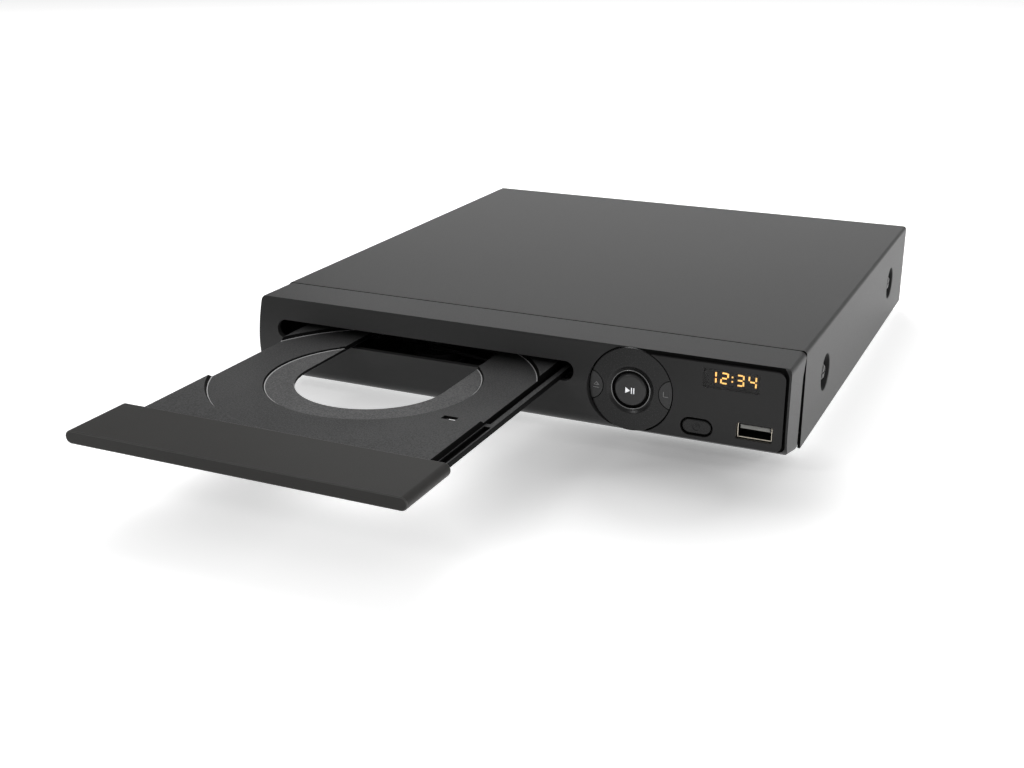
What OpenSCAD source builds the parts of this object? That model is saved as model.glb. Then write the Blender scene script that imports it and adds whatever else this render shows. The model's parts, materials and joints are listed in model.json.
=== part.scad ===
// Compact disc player with a motorised tray, shown with the tray out.
// Every piece is drawn in the case's own coordinates: X runs to the right from the middle,
// Y runs back from the seam between front moulding and metal cover, Z runs up from the
// underside of the metal case. in_case() then moves it to the part's frame, whose origin is
// the middle of the footprint with the tray out, on the surface the feet stand on.

/* [Case] */
// Width of the case
case_w = 225; // [222:1:250]
// Depth of the metal case behind the front moulding
case_d = 215.5; // [212:0.5:240]
// Height of the metal case without its feet
case_h = 38.6; // [36:0.2:42]
// Thickness of the sheet steel
sheet = 1.0; // [0.7:0.1:1.2]
// Radius of the bend along the cover's upper edges
bend_r = 1.6; // [1.3:0.1:2.2]
// Height of the rubber feet
foot_h = 4; // [3:0.5:10]
// Radius of a rubber foot
foot_r = 8; // [6:0.5:11]
// Distance of each foot's centre from the case's edges
foot_inset = 27; // [24:1:34]
// Radius of the dished seats for the cover's side screws
dimple_r = 8; // [7:0.25:8.5]
// Depth of the dished seats
dimple_deep = 2.2; // [1.8:0.1:2.4]
// Distance of the side screws from the front and back edges of the cover
dimple_inset = 37; // [34:0.5:44]
// Height of the side screws above the underside of the case
dimple_z = 18.6; // [14:0.2:22]
// How far the sound and picture sockets stand out at the back
socket_out = 8; // [6:0.5:10]

/* [Front moulding] */
// Gap of the seam between front moulding and cover
seam_gap = 0.45; // [0.3:0.05:0.8]
// Height of the tray slot
slot_h = 7.6; // [7:0.2:8]
// Play of the tray's front lip in the slot at each end
slot_play = 1.1; // [0.6:0.1:1.3]
// Place of the control disc to the right of the middle
ring_x = 52.2; // [51.6:0.2:53.4]
// Margin of the control disc above its upper edge
ring_top = 0.6; // [0.5:0.1:0.9]
// Margin of the control disc below its lower edge
ring_foot = 5.4; // [5:0.1:6]
// Gap between the control disc and the display panel
panel_gap = 0.45; // [0.3:0.05:0.6]

/* [Buttons] */
// Travel of every button
button_travel = 0.6; // [0.4:0.1:0.6]
// Radius of the play button
play_r = 6.3; // [5.8:0.1:6.4]
// Running gap round a button
button_gap = 0.2; // [0.15:0.05:0.3]
// Length of the power button
power_w = 11.2; // [9:0.2:11.4]
// Height of the power button
power_h = 5.6; // [4.6:0.2:5.8]

/* [Tray] */
// Radius of the recess for a full-size disc
disc_r = 61.2; // [60.6:0.1:61.6]
// Radius of the recess for a small disc
small_disc_r = 40.5; // [40.2:0.1:40.8]
// Half of the width between the tray's two straight edges
tray_half = 56.8; // [56:0.1:57.2]
// Centre of the disc, measured from the middle of the case
disc_x = -36; // [-36.6:0.1:-35.6]
// Travel of the tray
tray_travel = 129; // [120:0.5:130]
// Top of the tray's corner pads above the underside of the case
tray_z = 26.8; // [26.6:0.1:27]
// Depth of the full-size recess under the pads
disc_deep = 1.4; // [1.3:0.1:1.5]
// Depth of the small recess under the full-size one
small_deep = 0.8; // [0.6:0.1:0.9]
// Width of the tray's front lip
lip_w = 131; // [129.5:0.5:132]
// Thickness of the tray's front lip
lip_h = 4.8; // [4.4:0.1:5]
// Depth of the front lip from front to back
lip_d = 28.8; // [24:0.2:29]

/* [Hidden] */
$fn = 72;

// Finishes
paint_grey = "#5a5a58"; steel = "#9a9c9e"; plastic_black = "#2e2e2e"; smoked = "#1c1c1d";
button_grey = "#3f3f3f"; board_green = "#1f5a3a"; amber = "#ffb23c"; gear_white = "#d8d4c8";
rubber_black = "#1b1b1b"; tray_grey = "#58585a"; lip_grey = "#444341"; copper = "#b87333";
chip_black = "#202124"; shiny_steel = "#c8c8c6"; loader_black = "#34363a";
cream = "#cfc8b0"; lens_blue = "#8fa6c8"; gold = "#c9a24a";

// Case
half_w = case_w / 2;
inner_half = half_w - sheet;
pan_half = inner_half - 0.15;       // half of the width of the pan inside the cover
rear_y = case_d - 2 * sheet - 0.05; // front surface of the rear panel
screw_r = 1.5;
screw_bore = screw_r + 0.03;
dish_in = dimple_deep + sheet;      // how far a dished seat reaches inwards
dish_floor_r = dimple_r - 2.4;
dimple_y = [dimple_inset, case_d - dimple_inset];
rear_screw_x = [26.5 - half_w, 0, half_w - 26.5];
av_z = [13, 24.2];
av_r = 4.9;
rear_lip_z = av_z[1] + av_r + 0.6;  // lower edge of the cover's flange at the back
rear_screw_z = (rear_lip_z + case_h - sheet) / 2;

// Front moulding
strip_z = case_h - 0.1;             // strip at the seam
edge_y = -20.4;                     // front edge of the strip
edge_z = case_h - 0.5;
side_wall = 2.2;
tongue_half = half_w - side_wall;   // outside of the side tongues
wall_y = -19.6;                     // inside of the wall behind the control disc
pocket_y = -20.6;                   // floor of the pocket of disc and panel
ring_y = -22.0;                     // face of the control disc
panel_y = -22.4;                    // face of the display panel
rim = 0.8;                          // rim to the right of the panel's pocket
ring_gap = 0.5;                     // gap round the control disc in its pocket
panel_right = half_w - 2.0;
panel_bottom = 6.2;
panel_top = case_h - 1.9;
ring_r = (case_h - ring_top - ring_foot) / 2;
ring_z = ring_foot + ring_r;
panel_corner = 3;
dish_out_r = 9.5;
dish_in_r = 8.3;
dish_deep = 0.7;
trim_out_r = 7.9;
trim_in_r = 7.3;
side_button_r = 0.35 * ring_r;
side_button_off = ring_r + 0.5;
flange_t = 0.9;                     // flange that keeps a button in
flange_over = 0.8;
button_back = wall_y + 0.1;         // front of the flange of a button at rest

// The tray is drawn out; these give its places
lip_front_y = -23 - tray_travel;
lip_back_y = lip_front_y + lip_d;
disc_y = lip_back_y + 62.9;         // centre of the disc with the tray out
spindle_y = disc_y + tray_travel;   // centre of the disc with the tray in
tray_back_y = disc_y + 97;
tray_left = disc_x - tray_half;
tray_right = disc_x + tray_half;
window_r = 29.5;                    // half of the width of the tray's window
window_back_y = disc_y + 86;
lip_z = tray_z + 0.5 - lip_h;       // underside of the lip
slot_x = disc_x - 0.85;
slot_w = lip_w + 2 * slot_play;
slot_z = lip_z - 0.5;               // lower edge of the slot
disc_z = tray_z - disc_deep;        // surface the disc lies on
small_z = disc_z - small_deep;
plate_z = small_z - 1.2;            // underside of the tray's plate
skirt_z = slot_z + 0.2;             // lowest edge of the tray
rail_out = tray_right + 3.8;        // outside of the rail on the tray's right
rail_top = tray_z - 2.4;
tongue_in = 15;                     // length of the tray's tongue in the lip
seat = 0.1;                         // clearance of a push-on seat

// Middle of the footprint with the tray out
middle_y = (lip_front_y + case_d + socket_out) / 2;

// Loader frame
frame_left = disc_x - 64;
frame_right = disc_x + 64.2;
frame_wall = 2;
frame_y = 8;
frame_z = 3;
floor_t = 2;
frame_top = frame_z + floor_t;      // upper surface of the frame's floor
front_floor_y = 45.2;
frame_back = tray_back_y + tray_travel + 4.3;
rear_floor_y = frame_back - 27;
shelf_z = skirt_z - 0.1;            // top of the shelves that carry the tray
tab_z = tray_z + 0.3;               // underside of the tabs over the tray
bridge_z = tray_z + 3.1;            // underside of the clamp bridge
bridge_t = 1.2;
bridge_half = 11;
post_x = [disc_x - 57, disc_x + 57.5];
post_y = [front_floor_y - 5, frame_back - 5];

// Tray drive: the rack under the tray meets the pinion of the drive gear
gear_m = 1;
rack_x = tray_right - 3.3;          // pitch line of the rack
pinion_teeth = 10;
drive_x = rack_x - gear_m * pinion_teeth / 2;
drive_y = 16;
rack_teeth = 45;
rack_y = drive_y - 43 * PI * gear_m;
rack_band = 1.2;                    // plate left over the drive pinion
pinion_top = disc_z - rack_band - 0.2;
wheel_m = 0.8;
wheel_teeth = 30;
belt_pinion_teeth = 10;
belt_x = drive_x - wheel_m * (wheel_teeth + belt_pinion_teeth) / 2;
wheel_z = 16.2;
wheel_t = 3;
belt_z = 13.8;
pulley_big = 12;
pulley_small = 4;
belt_t = 1.2;
motor_x = belt_x - 46.5;
motor_y = 19;
motor_r = 10;
axle_r = 1.5;
axle_bore = axle_r + 0.06;

// Traverse deck: raised it lies level, at rest its front hangs down by deck_tilt
deck_z = 12;
deck_t = 2;
deck_top = deck_z + deck_t;
pivot_y = spindle_y + 81.3;
pivot_z = deck_z + 1;
deck_tilt = 5.2;
deck_half = 48;
deck_front_y = spindle_y - 22;
deck_back_y = pivot_y + 4;
ear_t = 3;
cam_travel = 24;
cam_y = front_floor_y - 3.7;        // front surface of the cam plate
cam_t = 3;
cam_pin_z = 16.8;
cam_pin_r = 1.5;
cam_reach = pivot_y - cam_y - cam_t / 2;
cam_drop = cam_reach * sin(deck_tilt);
cam_low = pivot_z - cam_reach * sin(deck_tilt) + (cam_pin_z - pivot_z) * cos(deck_tilt);
cam_top = cam_pin_z + 3;
turntable_z = disc_z + 0.6;         // the raised turntable's top
turntable_r = 14.5;
hub_r = 7.4;
spindle_r = 11.5;
rod_r = 1.5;
rod_bore = rod_r + 0.06;
rod_off = 17;
rod_z = 17.6;
sled_y = spindle_y + 27.5;
sled_half = 21;
sled_long = 10;
sled_travel = 32;
sled_m = 0.8;
sled_rack_x = disc_x + 28;
sled_gear_teeth = 20;
sled_small_teeth = 10;
sled_gear_x = sled_rack_x + sled_m * sled_small_teeth / 2;
sled_gear_y = spindle_y + 43;
sled_mesh = sled_m * (sled_gear_teeth + sled_small_teeth) / 2;
sled_rack_z = 15.4;
sled_wheel_z = 18.6;

// Front board
front_board_y = -11;                // rear surface of the front board
board_t = 1.6;
switch_y = front_board_y - board_t; // front surface, where the switches stand
stem_y = switch_y - 4.2;            // tips of the switch stems
power_x = ring_x + 26.2;
power_z = 11.2;
usb_x = half_w - 12.5;
usb_z = 12.3;
usb_w = 12.9;
usb_h = 5.6;
usb_y = -20.9;                      // mouth of the socket
digit_h = 4.4;
digit_w = 3.1;
digit_z = case_h - 9.8;
digit_x = [for (d = [31, 26.5, 20.7, 16.1]) half_w - d]; // left edges of the four characters
digit_t = 0.15;
module_y = pocket_y + 0.15;         // face of the display module
switch_x = [ring_x - ring_r + 2.7, ring_x, ring_x + ring_r - 2.7];
ir_x = half_w - 6.5;
ir_z = case_h - 7.6;

// Boards at the back
main_left = frame_right + 5;
main_right = inner_half - 5.5;
main_front = 62;
main_back = rear_y - 1.5;
stand_h = 5;
board_z = sheet + stand_h;
board_top = board_z + board_t;
power_left = -inner_half + 6.5;
power_right = frame_right - 40;
power_front = frame_back + 3.5;
inlet_x = 26.5 - half_w;
inlet_z = 17;
av_x = [main_left + 12.8, main_left + 26.8, main_left + 40.8];
hdmi_x = main_right - 12;
hdmi_z = board_top + 3.4;
main_stand = [[main_left + 4, main_front + 4], [main_right - 4, main_front + 4],
  [main_left + 4, main_back - 40], [main_right - 4, main_back - 40]];
power_stand = [[power_left + 4, power_front + 4], [power_right - 16, power_front + 4],
  [power_left + 4, main_back - 5], [power_right - 4, main_back - 5]];

// Helpers
module in_case() translate([0, -middle_y, foot_h]) children();
module block(a, b) translate(a) cube(b - a);
module both_sides() for (s = [0, 1]) mirror([s, 0, 0]) children();
module along_x(x0, x1) translate([x0, 0, 0]) rotate([90, 0, 90]) linear_extrude(x1 - x0) children();
module along_y(y0, y1) translate([0, y1, 0]) rotate([90, 0, 0]) linear_extrude(y1 - y0) children();
module pole(x, y, z0, z1, r) translate([x, y, z0]) cylinder(r = r, h = z1 - z0);
module bar_y(x, z, y0, y1, r) translate([x, y1, z]) rotate([90, 0, 0]) cylinder(r = r, h = y1 - y0);
module bar_x(y, z, x0, x1, r) translate([x0, y, z]) rotate([0, 90, 0]) cylinder(r = r, h = x1 - x0);
module stadium(w, h) {
  square([w - h, h], center = true);
  for (s = [-1, 1]) translate([s * (w - h) / 2, 0]) circle(d = h);
}
module rounded(w, h, r) {
  square([w - 2 * r, h], center = true);
  square([w, h - 2 * r], center = true);
  for (sx = [-1, 1], sy = [-1, 1]) translate([sx * (w / 2 - r), sy * (h / 2 - r)]) circle(r);
}
// Points of a smooth bend from a to c, pulled towards b, without its first point
function bend(a, b, c, n) = [for (i = [1 : n]) let (t = i / n)
  (1 - t) * (1 - t) * a + 2 * t * (1 - t) * b + t * t * c];
// A spur gear's outline with straight-sided teeth and room at their flanks
module gear_outline(teeth, m) {
  root = m * (teeth / 2 - 1.05);
  tip = m * (teeth / 2 + 0.8);
  step = 360 / teeth;
  polygon([for (i = [0 : teeth - 1]) each [
    for (p = [[root, -0.29], [tip, -0.11], [tip, 0.11], [root, 0.29]])
      p[0] * [cos((i + p[1]) * step), sin((i + p[1]) * step)]]]);
}
// A rack's outline: teeth towards -X with their pitch line at 0, running along +Y
module rack_outline(teeth, m, back) {
  pitch = m * PI;
  polygon(concat([[back, 0]], [for (i = [0 : teeth - 1]) each [
    for (p = [[0.2, 1.05], [0.38, -0.8], [0.62, -0.8], [0.8, 1.05]])
      [p[1] * m, (i + p[0]) * pitch]]], [[back, teeth * pitch]]));
}
// A pan-head screw pointing down -Z with the underside of its head at 0
module pan_screw(head_r, head_h, shank_r, shank_l) {
  difference() {
    rotate_extrude() polygon([[0, 0], [head_r, 0], [head_r, head_h * 0.45],
      [head_r * 0.72, head_h * 0.9], [head_r * 0.4, head_h], [0, head_h]]);
    for (a = [0, 90]) rotate([0, 0, a]) translate([-head_r * 0.62, -0.35, head_h * 0.4])
      cube([head_r * 1.24, 0.7, head_h]);
  }
  translate([0, 0, -shank_l]) cylinder(r = shank_r, h = shank_l + 0.2);
}
// Turns its children with the traverse deck, from level to its place at rest
module on_deck() in_case() translate([0, pivot_y, pivot_z]) rotate([deck_tilt, 0, 0])
  translate([0, -pivot_y, -pivot_z]) children();
// Puts its children, drawn in X and Z round the control disc's centre, at the front
module at_ring(y0, y1) along_y(y0, y1) translate([ring_x, ring_z]) children();

// ---- Metal case ----
module cover_outline(inset, r) {
  w = half_w - inset;
  h = case_h - inset;
  translate([-w, -inset]) square([2 * w, h - r + inset]);
  translate([-w + r, -inset]) square([2 * (w - r), h + inset]);
  both_sides() translate([w - r, h - r]) circle(r);
}
module at_dimples() for (s = [-1, 1], y = dimple_y)
  translate([s * half_w, y, dimple_z]) rotate([0, s * 90, 0]) children();

module top_cover() color(paint_grey) in_case() difference() {
  union() {
    difference() {
      along_y(0, case_d) difference() {
        cover_outline(0, bend_r);
        cover_outline(sheet, bend_r - sheet);
        translate([-case_w, -2]) square([2 * case_w, 2]);
      }
      at_dimples() translate([0, 0, -sheet - 1]) cylinder(r = dimple_r + 0.2, h = sheet + 2);
    }
    at_dimples() rotate_extrude() polygon([[screw_r + 0.4, -dimple_deep],
      [dish_floor_r, -dimple_deep], [dimple_r - 0.5, -0.25], [dimple_r, 0],
      [dimple_r + 0.3, 0], [dimple_r + 0.3, -sheet], [dish_floor_r + 0.4, -dish_in],
      [screw_r + 0.4, -dish_in]]);
    block([-half_w + 12, case_d - sheet, rear_lip_z],
      [half_w - 12, case_d, case_h - sheet / 2]);
  }
  for (x = rear_screw_x) bar_y(x, rear_screw_z, case_d - sheet - 1, case_d + 1, screw_r + 0.3);
}
module cover_screws() color(chip_black) in_case() at_dimples()
  translate([0, 0, -dimple_deep]) pan_screw(3.3, 1.7, screw_r, 5);
module rear_screws() color(chip_black) in_case() for (x = rear_screw_x)
  translate([x, case_d, rear_screw_z]) rotate([-90, 0, 0]) pan_screw(2.6, 1.5, screw_r, 5);

module at_feet() for (sx = [-1, 1], y = [foot_inset, case_d - foot_inset])
  translate([sx * (half_w - foot_inset), y, 0]) children();

module chassis() color(steel) in_case() difference() {
  union() {
    block([-pan_half, 0.8, 0], [pan_half, rear_y + sheet, sheet]);
    both_sides() block([pan_half - sheet, 9, 0], [pan_half, rear_y + sheet, 8]);
    block([-pan_half, rear_y, 0], [pan_half, rear_y + sheet, case_h - sheet - 0.2]);
    both_sides() for (y = dimple_y)
      block([half_w - dish_in - 1.25, y - 6, 0], [half_w - dish_in - 0.05, y + 6, dimple_z + 5]);
    for (p = concat(main_stand, power_stand)) pole(p[0], p[1], 0, board_z, 2.6);
    for (x = post_x, y = post_y) pole(x, y, 0, frame_z, 3.2);
  }
  at_feet() translate([0, 0, -1]) cylinder(r = 2.6, h = sheet + 2);
  for (s = [-1, 1], y = dimple_y)
    bar_x(y, dimple_z, s * (half_w - 6) - 4, s * (half_w - 6) + 4, screw_bore);
  for (p = concat(main_stand, power_stand)) pole(p[0], p[1], -1, board_z + 1, screw_bore);
  for (x = post_x, y = post_y) pole(x, y, -1, frame_z + 1, screw_bore);
  along_y(rear_y - 1, rear_y + 2 * sheet) {
    for (x = rear_screw_x) translate([x, rear_screw_z]) circle(screw_bore);
    translate([inlet_x, inlet_z]) rounded(21.6, 13.6, 3);
    for (x = av_x, z = av_z) translate([x, z]) circle(av_r + 0.3);
    translate([hdmi_x, hdmi_z]) square([15.8, 6.4], center = true);
    for (i = [0 : 11]) translate([-56 + 5 * i, 20]) rotate([0, 0, 90]) stadium(16, 2);
  }
}
module rubber_feet() color(rubber_black) in_case() at_feet() rotate_extrude()
  polygon([[0, -foot_h], [foot_r - 0.8, -foot_h], [foot_r - 0.3, -foot_h + 0.5],
    [foot_r, -0.05], [2.5, -0.05], [2.5, sheet + 0.05], [3.1, sheet + 0.05],
    [2.2, sheet + 1.6], [0, sheet + 1.6]]);

// ---- Front moulding ----
function chin() = bend([-22.9, 10], [-22, 4.5], [-16, 3.5], 8);
module left_outline() polygon(concat([[-seam_gap, 0.4], [-seam_gap, strip_z], [edge_y, edge_z]],
  bend([edge_y, edge_z], [-26.2, 22], [-22.9, 10], 20), chin()));
module right_outline() polygon(concat([[-seam_gap, 0.4], [-seam_gap, strip_z], [edge_y, edge_z],
  [-21.5, edge_z - 0.3], [-22.3, edge_z - 1.0], [-22.8, edge_z - 2.1], [-23.2, 14],
  [-22.9, 10]], chin()));
module side_button_outline(side, grow) intersection() {
  circle(ring_r + min(grow, 0.9));
  translate([side * side_button_off, 0]) circle(side_button_r + grow);
}
module display_window(grow) translate([digit_x[0] - 1.6 - grow, digit_z - 1.5 - grow])
  square([digit_x[3] - digit_x[0] + digit_w + 3.2 + 2 * grow, digit_h + 3 + 2 * grow]);
board_hold = [[ring_x - 16.6, 9], [ring_x - 16.6, case_h - 6.1],
  [ring_x + 18, case_h - 6.1], [half_w - 6.9, 23]];

module front_fascia() color(plastic_black) in_case() difference() {
  union() {
    difference() {
      union() {
        along_x(-half_w, ring_x) left_outline();
        along_x(ring_x, half_w) right_outline();
      }
      along_x(-half_w + side_wall, 31) polygon([[1, 2.4], [-16, 5.6], [-20.4, 9], [-21.3, 16],
        [-21.5, 24], [-20.8, 30], [-18.4, case_h - 2.6], [1, case_h - 2.4]]);
      along_x(30.9, half_w - side_wall) polygon([[1, 2.4], [-15.5, 4.6], [-17.5, 5.4],
        [wall_y, 7.2], [wall_y, case_h - 4.6], [-18, case_h - 2.6], [1, case_h - 2.4]]);
      both_sides() along_x(tongue_half - 0.01, half_w + 1) polygon([[-seam_gap, case_h - 1.8],
        [-2.0, 30], [-4.0, -1], [5, -1], [5, case_h - 1.8]]);
      both_sides() along_y(-30, 1) difference() {
        translate([half_w - 2.3, case_h - 2.5]) square(5);
        translate([half_w - 2.3, case_h - 2.5]) circle(2.3);
      }
      both_sides() translate([0, -seam_gap, 0.4]) rotate([-11.3, 0, 0]) along_y(-40, -1)
        difference() {
          translate([half_w - 2.4, 2.4 - 6]) square(6);
          translate([half_w - 2.4, 2.4]) circle(2.4);
        }
    }
    both_sides() block([tongue_half - 1.8, -14, 4.6], [tongue_half + 0.01, 6, case_h - 3.4]);
    block([-half_w + 6, -6, case_h - 3.2], [half_w - 6, 6, case_h - sheet - 0.3]);
    for (x = [-70, 70]) block([x - 22, -6, sheet + 0.3], [x + 22, 7, 3.2]);
    for (p = board_hold) bar_y(p[0], p[1], wall_y - 0.2, switch_y, 2.3);
  }
  along_y(-30, -14) translate([slot_x, slot_z + slot_h / 2]) stadium(slot_w, slot_h);
  at_ring(-30, pocket_y) circle(ring_r + ring_gap);
  along_y(-30, pocket_y) translate([(ring_x + half_w - rim) / 2, (case_h + 5.2) / 2])
    rounded(half_w - rim - ring_x, case_h - 5.8, panel_corner + 0.6);
  at_ring(-30, wall_y + 1) {
    circle(play_r + button_gap);
    for (s = [-1, 1]) side_button_outline(s, button_gap);
  }
  along_y(-30, wall_y + 1) {
    translate([power_x, power_z]) stadium(power_w + 2 * button_gap, power_h + 2 * button_gap);
    translate([usb_x, usb_z]) square([usb_w + 0.3, usb_h + 0.3], center = true);
    display_window(0.15);
    translate([ir_x, ir_z]) circle(2.1);
  }
  for (p = board_hold) bar_y(p[0], p[1], wall_y + 0.6, switch_y + 1, 1.03);
}
module display_panel() color(smoked) in_case() along_y(panel_y, pocket_y) difference() {
  translate([(ring_x + panel_right) / 2, (panel_bottom + panel_top) / 2])
    rounded(panel_right - ring_x, panel_top - panel_bottom, panel_corner);
  translate([ring_x, ring_z]) circle(ring_r + panel_gap);
  translate([power_x, power_z]) stadium(12.4, 7.0);
  translate([usb_x, usb_z]) rounded(usb_w + 0.4, usb_h + 0.4, 0.5);
}
module control_ring() color(button_grey) in_case() difference() {
  at_ring(ring_y, pocket_y) difference() {
    circle(ring_r);
    circle(trim_in_r + 0.25);
    for (s = [-1, 1]) translate([s * side_button_off, 0]) circle(side_button_r + button_gap);
  }
  translate([ring_x, ring_y, ring_z]) rotate([-90, 0, 0]) {
    translate([0, 0, -1]) cylinder(r = dish_out_r, h = 1);
    cylinder(r1 = dish_out_r, r2 = dish_in_r, h = dish_deep);
  }
}
module play_trim_ring() color(shiny_steel) in_case()
  translate([ring_x, ring_y + dish_deep, ring_z]) rotate([90, 0, 0]) rotate_extrude()
    polygon([[trim_in_r, -0.01 + 0.01], [trim_out_r, 0], [trim_out_r, dish_deep - 0.15],
      [trim_out_r - 0.2, dish_deep + 0.1], [trim_in_r + 0.2, dish_deep + 0.1],
      [trim_in_r, dish_deep - 0.15]]);
// What every button has behind the wall: a flange and a post that meets its switch
module button_post(x, z) bar_y(x, z, button_back, stem_y - button_travel - 0.05, 1.6);

module play_button() color(button_grey) in_case() difference() {
  union() {
    translate([ring_x, button_back, ring_z]) rotate([90, 0, 0]) rotate_extrude()
      polygon([[0, 0], [play_r, 0], [play_r, 2.1], [play_r - 0.15, 2.55], [play_r - 0.5, 2.9],
        [play_r - 1, 3.1], [play_r / 2, 3.25], [0, 3.3]]);
    at_ring(button_back, button_back + flange_t) circle(play_r + flange_over);
    button_post(ring_x, ring_z);
  }
  along_y(-30, button_back - 3) translate([ring_x, ring_z]) {
    polygon([[-1.9, -1.45], [-1.9, 1.15], [0.15, -0.15]]);
    for (x = [0.35, 1.25]) translate([x, -1.4]) square([0.5, 2.5]);
  }
}
module eject_button() color(button_grey) in_case() difference() {
  union() {
    at_ring(ring_y, button_back) side_button_outline(-1, 0);
    at_ring(button_back, button_back + flange_t) side_button_outline(-1, flange_over);
    button_post(switch_x[0], ring_z);
  }
  along_y(-30, ring_y + 0.2) translate([switch_x[0] - 0.1, ring_z]) {
    polygon([[-1.3, -0.2], [1.3, -0.2], [0, 1.4]]);
    translate([-1.3, -1.2]) square([2.6, 0.6]);
  }
}
module stop_button() color(button_grey) in_case() difference() {
  union() {
    at_ring(ring_y, button_back) side_button_outline(1, 0);
    at_ring(button_back, button_back + flange_t) side_button_outline(1, flange_over);
    button_post(switch_x[2], ring_z);
  }
  along_y(-30, ring_y + 0.2) translate([switch_x[2] + 0.1, ring_z])
    square([2.2, 2.2], center = true);
}
module power_button() color(button_grey) in_case() difference() {
  union() {
    along_y(panel_y + 0.2, button_back) translate([power_x, power_z]) stadium(power_w, power_h);
    along_y(button_back, button_back + flange_t) translate([power_x, power_z])
      stadium(power_w + 1.4, power_h + 1.4);
    button_post(power_x, power_z);
  }
  along_y(-30, panel_y + 0.4) translate([power_x, power_z]) {
    difference() {
      circle(1.5);
      circle(1.1);
      translate([-0.5, 0]) square([1, 3]);
    }
    translate([-0.2, 0.1]) square([0.4, 1.7]);
  }
}

// ---- Front board ----
module front_board() color(board_green) in_case() along_y(switch_y, front_board_y) difference() {
  translate([ring_x - 19, 6.4]) square([half_w + 14.9 - ring_x, case_h - 9.8]);
  for (p = board_hold) translate(p) circle(1.3);
  translate([usb_x, usb_z]) square([usb_w + 0.3, usb_h + 0.3], center = true);
}
module front_board_screws() color(shiny_steel) in_case() for (p = board_hold)
  translate([p[0], front_board_y, p[1]]) rotate([-90, 0, 0]) pan_screw(2.2, 1.2, 1, 5.5);
module tact_switches() color(chip_black) in_case() {
  for (p = [[switch_x[0], ring_z], [switch_x[1], ring_z], [switch_x[2], ring_z],
      [power_x, power_z]]) {
    block([p[0] - 3, switch_y - 3.4, p[1] - 3], [p[0] + 3, switch_y, p[1] + 3]);
    bar_y(p[0], p[1], stem_y, switch_y - 3.4, 1.7);
  }
}
module ir_receiver() color(chip_black) in_case() {
  block([ir_x - 2.6, switch_y - 4.6, ir_z - 3.4], [ir_x + 2.2, switch_y, ir_z + 3.4]);
  bar_y(ir_x, ir_z, pocket_y + 0.4, switch_y - 4.6, 1.9);
}
module display_module() color(chip_black) in_case()
  along_y(module_y, switch_y) display_window(0);
// One character of seven bars; bars lists which are lit, from the top clockwise, middle last
module seven_bars(bars) {
  t = 0.55;
  w = digit_w;
  h = digit_h;
  m = (h - t) / 2;
  if (bars[0]) translate([t, h - t]) square([w - 2 * t, t]);
  if (bars[1]) translate([w - t, m + t]) square([t, m - t]);
  if (bars[2]) translate([w - t, t]) square([t, m - t]);
  if (bars[3]) translate([t, 0]) square([w - 2 * t, t]);
  if (bars[4]) translate([0, t]) square([t, m - t]);
  if (bars[5]) translate([0, m + t]) square([t, m - t]);
  if (bars[6]) translate([t, m]) square([w - 2 * t, t]);
}
module display_digits() color(amber) in_case() along_y(module_y - digit_t, module_y) {
  shown = [[0, 1, 1, 0, 0, 0, 0], [1, 1, 0, 1, 1, 0, 1], [1, 1, 1, 1, 0, 0, 1],
    [0, 1, 1, 0, 0, 1, 1]];
  for (i = [0 : 3]) translate([digit_x[i], digit_z]) seven_bars(shown[i]);
  for (z = [1.1, 2.8]) translate([digit_x[2] - 1.6, digit_z + z]) square(0.55);
}
module usb_shell() color(shiny_steel) in_case() along_y(usb_y, -9) {
  difference() {
    translate([usb_x, usb_z]) square([usb_w, usb_h], center = true);
    translate([usb_x, usb_z]) square([usb_w - 0.7, usb_h - 0.7], center = true);
  }
}
module usb_tongue() color(chip_black) in_case() {
  block([usb_x - usb_w / 2 + 0.4, -11.4, usb_z - usb_h / 2 + 0.4],
    [usb_x + usb_w / 2 - 0.4, -9, usb_z + usb_h / 2 - 0.4]);
  block([usb_x - 5.5, usb_y + 0.6, usb_z + 0.55], [usb_x + 5.5, -11.3, usb_z + 1.95]);
}
module usb_contacts() color(gold) in_case() for (x = [-3.5, -1, 1, 3.5])
  block([usb_x + x - 0.5, usb_y + 1.2, usb_z + 0.3], [usb_x + x + 0.5, -11.6, usb_z + 0.55]);

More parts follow.
